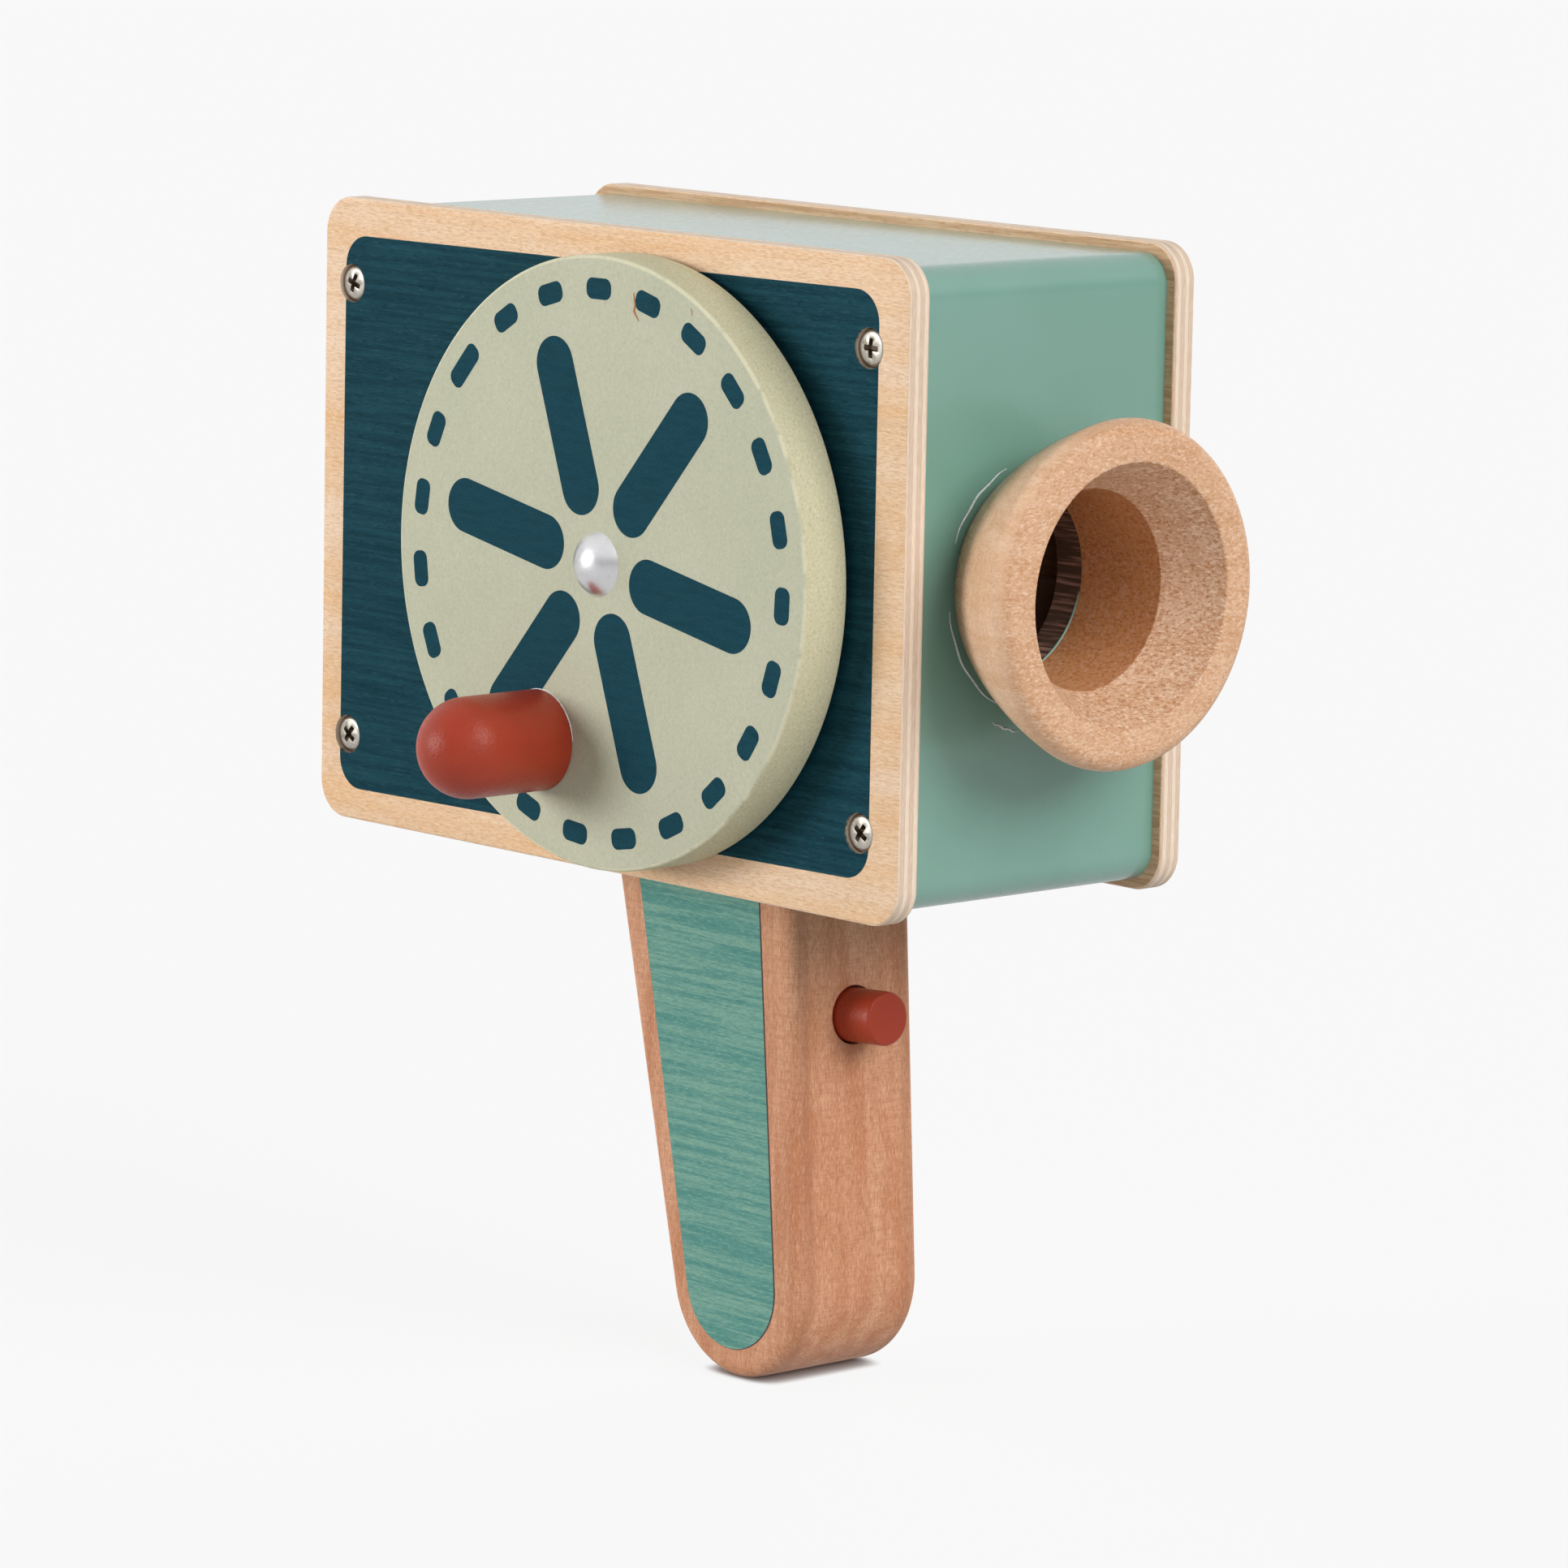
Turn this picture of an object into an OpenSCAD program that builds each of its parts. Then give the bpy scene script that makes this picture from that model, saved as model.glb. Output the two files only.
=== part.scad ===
// Wooden toy film camera: a painted box between two plywood sides, with a crank wheel,
// a turned lens, a tapered grip and a sprung trigger.
// Millimetres. +X is forward, +Z up. X = Z = 0 at the centre of the side plates,
// Y = 0 on the outer face of the left plate, so the crank is on the -Y side.

/* [Side plates] */
// Length of each side plate
plate_l = 163.6; // [140:0.2:200]
// Height of each side plate
plate_h = 120; // [112:0.5:150]
// Thickness of the plywood
plate_t = 5; // [4:0.5:8]
// Radius of the plate corners
plate_corner_r = 7; // [3:0.5:12]
// How far the plates stand out past the box at its front and rear
overhang = 2.3; // [1:0.1:5]
// How far the plates stand out past the box at its top and bottom
overhang_z = 1.9; // [1:0.1:5]

/* [Box] */
// Clear width between the side plates
box_w = 61.4; // [50:0.2:80]
// Thickness of the front and rear boards
end_board_t = 14; // [12:0.5:20]
// Thickness of the top and bottom boards
long_board_t = 8; // [7:0.5:12]
// Radius of the box's outer corners
box_corner_r = 6; // [2:0.5:6.5]
// Diameter of the eye hole in the rear board
eye_hole_d = 24; // [14:1:40]

/* [Crank] */
// Crank axis, forward of the plates' centre
crank_x = 11.9; // [0:0.1:20]
// Crank axis, above the plates' centre
crank_z = -0.6; // [-8:0.1:8]
// Diameter of the wheel
wheel_d = 113.2; // [100:0.2:130]
// Thickness of the wheel
wheel_t = 10.3; // [9:0.1:15]
// Radius of the wheel's eased edges
wheel_edge_r = 1; // [0.5:0.1:3]
// Space between the wheel and its plate
wheel_gap = 1.2; // [0.8:0.1:3]
// Diameter of the peg
peg_d = 18.9; // [14:0.1:22]
// How far the peg stands out of the wheel
peg_l = 26.8; // [20:0.1:40]
// Distance of the peg's centre from the wheel's edge
peg_inset = 19; // [14:0.1:26]
// Rest angle of the peg, clockwise from the top, seen from the crank side
peg_angle = 204; // [0:1:359]
// Diameter of the tenon that fixes the peg
tenon_d = 10; // [6:0.5:12]
// Length of the tenon
tenon_l = 6; // [4:0.5:8]

/* [Axle] */
// Diameter of the axle
axle_d = 5; // [4:0.1:6]
// Diameter of the domed cap
cap_d = 12.2; // [10:0.1:16]
// Height of the domed cap
cap_h = 3.4; // [3:0.1:5]
// Depth of the axle's socket in each end piece
socket_l = 2; // [1.5:0.1:2.2]
// Diameter of the two washers
washer_d = 16; // [12:0.5:24]
// Thickness of the inner washer
inner_washer_t = 1; // [0.6:0.1:2]
// Diameter of the bearing block
block_d = 34; // [24:1:50]
// Thickness of the bearing block
block_t = 12; // [8:0.5:20]
// Diameter of the inner retainer
retainer_d = 12; // [9:0.5:15]
// Height of the inner retainer
retainer_h = 4; // [3:0.5:8]

/* [Lens] */
// Lens axis, above the plates' centre
lens_z = 0; // [-10:0.1:10]
// How far the lens stands out of the box
lens_l = 23.9; // [20:0.1:35]
// Diameter of the rim
rim_d = 63.6; // [58:0.2:70]
// Radius of the rim's rounded edge
rim_round_r = 3.2; // [2:0.1:4]
// Diameter of the foot, where the lens meets the box
foot_d = 42.2; // [41.4:0.2:48]
// How far the side bows out between foot and rim
side_bow = 0.9; // [0.2:0.1:2]
// Diameter of the mouth
mouth_d = 48.3; // [44:0.1:52]
// Depth of the conical mouth
mouth_depth = 11.2; // [8:0.1:14]
// Diameter of the straight bore
lens_bore_d = 36.6; // [30:0.1:37]
// Diameter of the spigot in the front board
spigot_d = 40.6; // [39:0.1:41]
// Length of the spigot
spigot_l = 7.6; // [5:0.1:10]

/* [Grip] */
// Front edge of the grip at its top, forward of the plates' centre
grip_front_x = 31.3; // [20:0.1:45]
// Depth of the grip at its top, front to back
grip_top_l = 50.4; // [46:0.2:60]
// Length of the grip below the box
grip_l = 98.4; // [90:0.2:125]
// Thickness of the grip
grip_t = 31; // [26:0.5:38]
// Centre of the round end, forward of the plates' centre
grip_end_x = 18; // [10:0.5:24]
// Radius of the round end
grip_end_r = 18.3; // [16:0.1:22]
// Radius of the eased edges
grip_edge_r = 2.6; // [1:0.1:5]

/* [Trigger] */
// Diameter of the button
trigger_d = 10.2; // [8:0.1:12]
// Gap round the button
trigger_gap = 0.5; // [0.3:0.1:1]
// Distance below the box at which the button comes out of the grip
trigger_drop = 28.4; // [27:0.1:40]
// How far the button stands out at rest
trigger_out = 9.2; // [7:0.1:12]
// Whole length of the button
trigger_l = 28.3; // [26:0.1:30]
// Travel of the button
trigger_travel = 5; // [3:0.5:6]
// Depth of the button's hole in the grip
trigger_hole_l = 34; // [32:0.5:36]
// Diameter of the cross pin
pin_d = 2.5; // [2:0.1:3]
// Distance of the cross pin from the button's inner end
pin_from_end = 8; // [6:0.5:10]
// Wood left between the pin and the right face of the grip
pin_cover = 4; // [2:0.5:8]
// Outer diameter of the spring
spring_d = 8.4; // [6:0.1:9.5]
// Diameter of the spring wire
wire_d = 0.9; // [0.6:0.1:1.2]
// Turns of the spring
spring_turns = 6; // [4:1:7]

/* [Screws] */
// Distance of the plate screws from the top and bottom edges of the plate
plate_screw_inset = 16.4; // [14:0.1:24]
// How far the plate screws sit behind the middle of the end boards
plate_screw_back = 1.1; // [-2:0.1:2]
// Diameter of the screw heads
screw_head_d = 6.6; // [6:0.1:7.5]
// Height of the screw heads
screw_head_h = 2.2; // [1.6:0.1:2.6]
// Diameter of the screw shanks
screw_d = 3.5; // [3:0.1:4]
// Length of the plate screws below the head
plate_screw_l = 22; // [16:1:30]
// Diameter of the counterbores in the plate
counterbore_d = 8; // [7.6:0.1:9]
// Depth of the counterbores
counterbore_l = 2.4; // [1.6:0.1:3]
// Length of the grip screws below the head
grip_screw_l = 28; // [20:1:29]
// Distance of the grip screws from the front and rear edges of the grip
grip_screw_inset = 14; // [11:0.5:18]

/* [Clearances] */
// Radial gap of a press fit or a screw in its pilot hole
press_gap = 0.02; // [0.01:0.01:0.05]
// Radial gap of the axle in its bearings
running_gap = 0.08; // [0.05:0.01:0.1]
// Radial gap of a glued round joint
glue_gap = 0.1; // [0.05:0.05:0.3]
// Radial gap of a loose hole
loose_gap = 0.25; // [0.2:0.05:0.5]
// End play of the axle at each face that turns
end_play = 0.2; // [0.1:0.05:0.4]
// Gap left at stops and at the ends of blind holes
stop_gap = 0.3; // [0.2:0.05:0.6]

/* [Hidden] */
$fn = 96;

// Colours, as the toy shows them
birch = "#e0b88a";
maple = "#d9ad80";
beech = "#c08a66";
green_paint = "#7fb09c";
sage_paint = "#bfc2a4";
red_paint = "#a8402f";
steel = "#c4c6c8";

// Overlap that makes a cut run clear of the face it starts from
cut = 1;
// Steps of the lens's bowed side, and of one turn and one ring of the spring
bow_steps = 12;
turn_steps = 12;
wire_sides = 6;
// Segments of the round edges of the grip
grip_steps = 48;

// Planes of the plates and the box
box_l = plate_l - 2 * overhang;
box_h = plate_h - 2 * overhang_z;
y_left_in = -plate_t;
y_right_in = y_left_in - box_w;
y_right_out = y_right_in - plate_t;
y_mid = y_left_in - box_w / 2;
x_front = box_l / 2;
x_rear = -box_l / 2;
z_top = box_h / 2;
z_bottom = -box_h / 2;
end_board_h = box_h - 2 * long_board_t;

// Planes of the crank, outwards from the box
y_wheel_back = y_right_out - wheel_gap;
y_wheel_face = y_wheel_back - wheel_t;
y_block_in = y_right_in + block_t;
y_inner_washer = y_block_in + end_play;
y_retainer = y_inner_washer + inner_washer_t;
peg_throw = wheel_d / 2 - peg_inset;
peg_x = crank_x + peg_throw * sin(peg_angle);
peg_z = crank_z + peg_throw * cos(peg_angle);

// Grip outline: straight front and rear edges that touch the round end
grip_rear_x = grip_front_x - grip_top_l;
z_grip_end = z_bottom - grip_l + grip_end_r;
z_trigger = z_bottom - trigger_drop;
front_run = grip_end_x - grip_front_x;
end_drop = z_bottom - z_grip_end;
front_lean = atan2(front_run, end_drop) + asin(grip_end_r / norm([front_run, end_drop]));

// Trigger: where its axis meets the grip's front edge, and distances along the axis from there
x_grip_face = grip_front_x + trigger_drop * tan(front_lean);
button_end = trigger_out - trigger_l;
hole_end = -trigger_hole_l;
pin_at = button_end + pin_from_end;
pin_start = pin_cover - grip_t / 2;
trigger_hole_d = trigger_d + 2 * trigger_gap;
tip_ease = 0.5;

// Screws
x_plate_screw = x_front - end_board_t / 2;
z_plate_screw = plate_h / 2 - plate_screw_inset;
y_screw_seat = y_right_out + counterbore_l;
grip_screw_xs = [grip_front_x - grip_screw_inset, grip_rear_x + grip_screw_inset];
z_grip_screw_seat = z_bottom + long_board_t;
screw_point_l = 4;
screw_tip_d = 0.7;

// Radius of the sphere whose cap has this diameter and height
function dome_radius(d, h) = (h * h + d * d / 4) / (2 * h);

// Flat outline with four rounded corners, about the origin
module rounded_rectangle(l, h, r) {
    square([l - 2 * r, h], center = true);
    square([l, h - 2 * r], center = true);
    for (sx = [-1, 1], sz = [-1, 1])
        translate([sx * (l / 2 - r), sz * (h / 2 - r)])
            circle(r);
}

// An XZ outline made solid between two Y planes
module slab(y_low, y_high) {
    translate([0, y_high, 0])
        rotate([90, 0, 0])
            linear_extrude(y_high - y_low)
                children();
}

// Cylinder along +Y from a start plane
module bar_y(x, y, z, d, l) {
    translate([x, y, z])
        rotate([-90, 0, 0])
            cylinder(d = d, h = l);
}

// Cylinder along +X from a start plane
module bar_x(x, y, z, d, l) {
    translate([x, y, z])
        rotate([0, 90, 0])
            cylinder(d = d, h = l);
}

// Cylinder with a bore along its axis, along +Y from a start plane
module ring_y(x, y, z, d, bore, l) {
    difference() {
        bar_y(x, y, z, d, l);
        bar_y(x, y - cut, z, bore, l + 2 * cut);
    }
}

// Disc with both edges eased, standing on the XY plane
module eased_disc(r, t, edge) {
    rotate_extrude() {
        square([r - edge, t]);
        translate([0, edge])
            square([r, t - 2 * edge]);
        for (z = [edge, t - edge])
            translate([r - edge, z])
                circle(edge);
    }
}

// Screw with a domed head, pointing down from its seat at the origin
module wood_screw(l) {
    dome_r = dome_radius(screw_head_d, screw_head_h);
    intersection() {
        cylinder(d = screw_head_d, h = screw_head_h);
        translate([0, 0, screw_head_h - dome_r])
            sphere(dome_r);
    }
    translate([0, 0, screw_point_l - l])
        cylinder(d = screw_d, h = l - screw_point_l);
    translate([0, 0, -l])
        cylinder(d1 = screw_tip_d, d2 = screw_d, h = screw_point_l);
}

// Puts its children at the four plate screws, with -Z along +Y
module at_plate_screws() {
    for (sx = [-1, 1], sz = [-1, 1])
        translate([sx * x_plate_screw - plate_screw_back, y_screw_seat, sz * z_plate_screw])
            rotate([90, 0, 0])
                children();
}

module side_plate(y_low, y_high) {
    slab(y_low, y_high)
        rounded_rectangle(plate_l, plate_h, plate_corner_r);
}

module right_side_plate() {
    color(birch)
        difference() {
            side_plate(y_right_out, y_right_in);
            bar_y(crank_x, y_right_out - cut, crank_z, axle_d + 2 * running_gap, plate_t + 2 * cut);
            at_plate_screws() {
                cylinder(d = counterbore_d, h = counterbore_l + cut);
                translate([0, 0, -plate_t])
                    cylinder(d = screw_d + 2 * loose_gap, h = plate_t + cut);
            }
        }
}

module left_side_plate() {
    color(birch)
        side_plate(y_left_in, 0);
}

// Long board of the box, outer face up, with its two outer corners rounded
module long_board_outline() {
    translate([x_rear, 0])
        square([box_l, long_board_t - box_corner_r]);
    translate([x_rear + box_corner_r, 0])
        square([box_l - 2 * box_corner_r, long_board_t]);
    intersection() {
        translate([x_rear, 0])
            square([box_l, long_board_t]);
        for (sx = [-1, 1])
            translate([sx * (x_front - box_corner_r), long_board_t - box_corner_r])
                circle(box_corner_r);
    }
}

module top_board() {
    color(green_paint)
        slab(y_right_in, y_left_in)
            translate([0, z_top - long_board_t])
                long_board_outline();
}

module bottom_board() {
    color(green_paint)
        difference() {
            slab(y_right_in, y_left_in)
                translate([0, z_bottom + long_board_t])
                    mirror([0, 1])
                        long_board_outline();
            for (x = grip_screw_xs)
                translate([x, y_mid, z_bottom - cut])
                    cylinder(d = screw_d + 2 * loose_gap, h = long_board_t + 2 * cut);
        }
}

// Front or rear board, with pilot holes for its two plate screws
module end_board(x_low) {
    difference() {
        translate([x_low, y_right_in, -end_board_h / 2])
            cube([end_board_t, box_w, end_board_h]);
        for (sz = [-1, 1])
            bar_y(x_low + end_board_t / 2 - plate_screw_back, y_right_in - cut, sz * z_plate_screw,
                  screw_d + 2 * press_gap, plate_screw_l + cut);
    }
}

module front_board() {
    color(green_paint)
        difference() {
            end_board(x_front - end_board_t);
            bar_x(x_front - spigot_l - glue_gap, y_mid, lens_z,
                  spigot_d + 2 * glue_gap, spigot_l + glue_gap + cut);
            bar_x(x_front - end_board_t - cut, y_mid, lens_z, lens_bore_d, end_board_t);
        }
}

module rear_board() {
    color(green_paint)
        difference() {
            end_board(x_rear);
            bar_x(x_rear - cut, y_mid, lens_z, eye_hole_d, end_board_t + 2 * cut);
        }
}

module crank_wheel() {
    color(sage_paint)
        difference() {
            translate([crank_x, y_wheel_back, crank_z])
                rotate([90, 0, 0])
                    eased_disc(wheel_d / 2, wheel_t, wheel_edge_r);
            bar_y(crank_x, y_wheel_face - cut, crank_z, axle_d + 2 * press_gap, wheel_t + 2 * cut);
            bar_y(peg_x, y_wheel_face - cut, peg_z, tenon_d + 2 * glue_gap, tenon_l + stop_gap + cut);
        }
}

module crank_peg() {
    straight_l = peg_l - peg_d / 2;
    color(red_paint) {
        translate([peg_x, y_wheel_face, peg_z])
            rotate([90, 0, 0])
                rotate_extrude() {
                    square([peg_d / 2, straight_l]);
                    translate([0, -tenon_l])
                        square([tenon_d / 2, tenon_l]);
                    translate([0, straight_l])
                        intersection() {
                            circle(peg_d / 2);
                            square(peg_d / 2);
                        }
                }
    }
}

module crank_axle() {
    y_outer = y_wheel_face - socket_l;
    color(steel)
        bar_y(crank_x, y_outer, crank_z, axle_d, y_retainer + socket_l - y_outer);
}

module axle_cap() {
    dome_r = dome_radius(cap_d, cap_h);
    color(steel)
        difference() {
            translate([crank_x, y_wheel_face, crank_z])
                rotate([90, 0, 0])
                    intersection() {
                        translate([0, 0, cap_h - dome_r])
                            sphere(dome_r);
                        cylinder(d = 2 * cap_d, h = cap_h + cut);
                    }
            bar_y(crank_x, y_wheel_face - socket_l, crank_z, axle_d + 2 * press_gap, socket_l + cut);
        }
}

module wheel_washer() {
    color(steel)
        ring_y(crank_x, y_wheel_back, crank_z, washer_d, axle_d + 2 * loose_gap, wheel_gap - end_play);
}

module axle_block() {
    color(beech)
        ring_y(crank_x, y_right_in, crank_z, block_d, axle_d + 2 * running_gap, block_t);
}

module inner_washer() {
    color(steel)
        ring_y(crank_x, y_inner_washer, crank_z, washer_d, axle_d + 2 * loose_gap, inner_washer_t);
}

module axle_retainer() {
    color(steel)
        difference() {
            bar_y(crank_x, y_retainer, crank_z, retainer_d, retainer_h);
            bar_y(crank_x, y_retainer - cut, crank_z, axle_d + 2 * press_gap, socket_l + cut);
        }
}

// Points along a shallow arc from a to b that bows out by sag
function bowed_line(a, b, sag, steps) =
    let (run = b - a, side = [run[1], -run[0]] / norm(run))
    [for (i = [0 : steps]) let (t = i / steps) a + run * t + side * sag * 4 * t * (1 - t)];

// Half section of the lens: X is the radius, Y the distance out from the front board
module lens_section() {
    rim_centre = [rim_d / 2 - rim_round_r, lens_l - rim_round_r];
    flare = atan2(rim_d - foot_d, 2 * rim_centre[1]);
    side_top = rim_centre + rim_round_r * [cos(flare), -sin(flare)];
    spigot = [[lens_bore_d / 2, -spigot_l], [spigot_d / 2, -spigot_l], [spigot_d / 2, 0]];
    side = bowed_line([foot_d / 2, 0], side_top, side_bow, bow_steps);
    rim_face = [rim_centre, [rim_centre[0], lens_l]];
    mouth = [[mouth_d / 2, lens_l], [lens_bore_d / 2, lens_l - mouth_depth]];
    polygon(concat(spigot, side, rim_face, mouth));
    translate(rim_centre)
        circle(rim_round_r);
}

module lens_barrel() {
    color(maple)
        translate([x_front, y_mid, lens_z])
            rotate([0, 90, 0])
                rotate_extrude()
                    lens_section();
}

// Puts its children on the trigger's axis, square to the grip's front edge: +X points out of the grip
module on_trigger_axis() {
    translate([x_grip_face, y_mid, z_trigger])
        rotate([0, -front_lean, 0])
            children();
}

// Solid grip: the round end and the four top corners, drawn together
module grip_blank() {
    ease_y = grip_t / 2 - grip_edge_r;
    hull() {
        translate([grip_end_x, y_mid + grip_t / 2, z_grip_end])
            rotate([90, 0, 0])
                eased_disc(grip_end_r, grip_t, grip_edge_r, $fn = grip_steps);
        for (x = [grip_front_x - grip_edge_r, grip_rear_x + grip_edge_r], sy = [-1, 1])
            translate([x, y_mid + sy * ease_y, z_bottom - grip_edge_r])
                cylinder(r = grip_edge_r, h = grip_edge_r, $fn = grip_steps);
    }
}

module grip() {
    color(beech)
        difference() {
            grip_blank();
            on_trigger_axis() {
                bar_x(hole_end, 0, 0, trigger_hole_d, trigger_hole_l + trigger_out);
                bar_y(pin_at, pin_start - stop_gap, 0, pin_d + 2 * press_gap, grip_t);
            }
            for (x = grip_screw_xs)
                translate([x, y_mid, z_grip_screw_seat - grip_screw_l - stop_gap])
                    cylinder(d = screw_d + 2 * press_gap, h = grip_screw_l);
        }
}

module trigger_button() {
    slot_low = pin_at - pin_d / 2 - stop_gap;
    slot_l = pin_d + trigger_travel + 2 * stop_gap;
    slot_h = pin_d + 2 * stop_gap;
    color(red_paint)
        on_trigger_axis()
            difference() {
                union() {
                    bar_x(button_end, 0, 0, trigger_d, trigger_l - tip_ease);
                    translate([trigger_out - tip_ease, 0, 0])
                        rotate([0, 90, 0])
                            cylinder(d1 = trigger_d, d2 = trigger_d - 2 * tip_ease, h = tip_ease);
                }
                translate([slot_low, -trigger_d, -slot_h / 2])
                    cube([slot_l, 2 * trigger_d, slot_h]);
            }
}

// Coil between the bottom of the hole and the button, as one wire of flat-sided rings
module trigger_spring() {
    sides = wire_sides;
    rings = turn_steps * spring_turns;
    coil_r = (spring_d - wire_d) / 2;
    first = hole_end + wire_d / 2;
    rise = button_end - hole_end - wire_d;
    points = [
        for (i = [0 : rings], k = [0 : sides - 1])
            let (turn = 360 * spring_turns * i / rings, spoke = 360 * k / sides)
            let (r = coil_r + wire_d / 2 * cos(spoke))
            [first + rise * i / rings + wire_d / 2 * sin(spoke), r * cos(turn), r * sin(turn)]
    ];
    skin = [
        for (i = [0 : rings - 1], k = [0 : sides - 1])
            let (a = i * sides + k, b = i * sides + (k + 1) % sides)
            each [[a, a + sides, b], [b, a + sides, b + sides]]
    ];
    first_end = [for (k = [1 : sides - 2]) [0, k, k + 1]];
    last_end = [for (k = [1 : sides - 2]) [for (j = [0, k + 1, k]) rings * sides + j]];
    color(steel)
        on_trigger_axis()
            polyhedron(points, concat(skin, first_end, last_end));
}

module trigger_pin() {
    color(steel)
        on_trigger_axis()
            bar_y(pin_at, pin_start, 0, pin_d, grip_t - pin_cover - stop_gap);
}

module plate_screws() {
    color(steel)
        at_plate_screws()
            wood_screw(plate_screw_l);
}

module grip_screws() {
    color(steel)
        for (x = grip_screw_xs)
            translate([x, y_mid, z_grip_screw_seat])
                wood_screw(grip_screw_l);
}

right_side_plate();
left_side_plate();
top_board();
bottom_board();
front_board();
rear_board();
crank_wheel();
crank_peg();
crank_axle();
axle_cap();
wheel_washer();
axle_block();
inner_washer();
axle_retainer();
lens_barrel();
grip();
trigger_button();
trigger_spring();
trigger_pin();
plate_screws();
grip_screws();
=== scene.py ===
import math

import bmesh
import bpy
from mathutils import Matrix, Vector


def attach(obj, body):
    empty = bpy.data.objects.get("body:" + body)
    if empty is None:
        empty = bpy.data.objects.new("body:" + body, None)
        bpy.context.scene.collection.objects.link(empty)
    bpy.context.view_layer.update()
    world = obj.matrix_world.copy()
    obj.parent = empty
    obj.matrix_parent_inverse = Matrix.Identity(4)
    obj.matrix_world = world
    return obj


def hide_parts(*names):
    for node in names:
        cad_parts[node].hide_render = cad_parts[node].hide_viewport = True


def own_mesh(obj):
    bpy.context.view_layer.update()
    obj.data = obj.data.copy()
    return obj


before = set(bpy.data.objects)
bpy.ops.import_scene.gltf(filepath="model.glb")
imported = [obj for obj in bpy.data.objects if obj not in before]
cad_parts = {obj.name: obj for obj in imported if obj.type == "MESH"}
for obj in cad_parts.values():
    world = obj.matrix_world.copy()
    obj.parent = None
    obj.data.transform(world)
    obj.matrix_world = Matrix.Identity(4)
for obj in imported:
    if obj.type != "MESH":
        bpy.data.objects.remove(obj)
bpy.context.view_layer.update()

# Sizes in millimetres, in the frame of the part's source
MM = 0.001
PLATE_L, PLATE_H, PLATE_T, PLATE_R = 163.6, 120.0, 5.0, 7.0
OVERHANG_X, OVERHANG_Z, BOX_W, BOX_R = 2.3, 1.9, 61.4, 6.0
END_T, LONG_T, EYE_R = 14.0, 8.0, 12.0
X_FRONT = PLATE_L / 2 - OVERHANG_X
Z_TOP = PLATE_H / 2 - OVERHANG_Z
Y_LEFT_IN = -PLATE_T
Y_RIGHT_IN = Y_LEFT_IN - BOX_W
Y_FACE = Y_RIGHT_IN - PLATE_T
Y_MID = Y_LEFT_IN - BOX_W / 2

CRANK_X, CRANK_Z = 11.9, -0.6
WHEEL_R, WHEEL_T, WHEEL_GAP, WHEEL_EDGE = 56.6, 10.3, 1.2, 0.8
Y_WHEEL = Y_FACE - WHEEL_GAP - WHEEL_T
PEG_R, PEG_L, PEG_THROW, PEG_ANGLE = 9.45, 26.8, 37.6, 204.0
TENON_R, TENON_L = 5.0, 6.0
AXLE_R, CAP_R, CAP_H, SOCKET_L = 2.5, 6.1, 3.4, 2.0

LENS_L, RIM_R, RIM_ROUND, FOOT_R, BOW = 23.9, 31.8, 3.2, 21.1, 0.9
MOUTH_R, MOUTH_DEPTH, BORE_R, SPIGOT_R, SPIGOT_L = 24.15, 11.2, 18.3, 20.3, 7.6

GRIP_FRONT, GRIP_REAR, GRIP_T, GRIP_EDGE = 31.3, -19.1, 31.0, 2.6
GRIP_END, GRIP_END_R = (18.0, -138.2), 18.3
Y_GRIP = (Y_MID - GRIP_T / 2, Y_MID + GRIP_T / 2)
Z_FLOOR = GRIP_END[1] - GRIP_END_R
GRIP_SCREWS, SCREW_DEPTH = (17.3, -5.1), 20.3

TRIGGER_DROP, TRIGGER_R, TRIGGER_HOLE_R = 28.4, 5.1, 5.6
TRIGGER_OUT, TRIGGER_L, TRIGGER_HOLE_L, TRAVEL = 9.2, 28.3, 34.0, 5.0
PIN_R, PIN_FROM_END, PIN_COVER, STOP_GAP = 1.25, 8.0, 4.0, 0.3
SPRING_R, WIRE_R, SPRING_TURNS = 3.75, 0.45, 6

SCREW_X, SCREW_Z, SCREW_BACK = X_FRONT - END_T / 2, PLATE_H / 2 - 16.4, 1.1
SINK_R, SINK_L, SHANK_HOLE_R = 3.7, 2.4, 2.0
HEAD_R, HEAD_H, SHANK_R = 3.4, 2.2, 1.75
SCREWS = [(sx * SCREW_X - SCREW_BACK, sz * SCREW_Z) for sx in (-1, 1) for sz in (-1, 1)]

# Thickness of a coat of stain or print, and how deep its solid reaches into the wood
COAT, COAT_ROOT = 0.04, 0.4
# Overlap that makes a cut run clear of the face it starts from
CUT = 1.0
# Gaps round the axle, in the lens's seat and in tight holes
AXLE_PLAY, SEAT_GAP, TIGHT_GAP = 0.08, 0.1, 0.02
# Eased edges of the plates, and of cuts in the right plate, the grip and the screws
PLATE_EASE, HOLE_EASE, GRIP_HOLE_EASE, RECESS_EASE = 0.6, 0.1, 0.15, 0.07
# Least angles, in degrees, of an edge that is shaded sharp and of an edge that is eased after a cut
SHARP, EASED = 35.0, 40.0

# Axes: forward along the lens, to the left, up, and out of the crank side
ORIGIN = (0, 0, 0)
ALONG_X, ALONG_Y, ALONG_Z, OUT_RIGHT = (1, 0, 0), (0, 1, 0), (0, 0, 1), (0, -1, 0)


def srgb(r, g, b):
    """Linear colour of an sRGB colour given as 0 to 255."""
    parts = (c / 255 for c in (r, g, b))
    return tuple(c / 12.92 if c <= 0.04045 else ((c + 0.055) / 1.055) ** 2.4 for c in parts) + (1.0,)


def grey(value):
    return (value,) * 3 + (1.0,)


def shade(color, factor):
    return tuple(c * factor for c in color)


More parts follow.
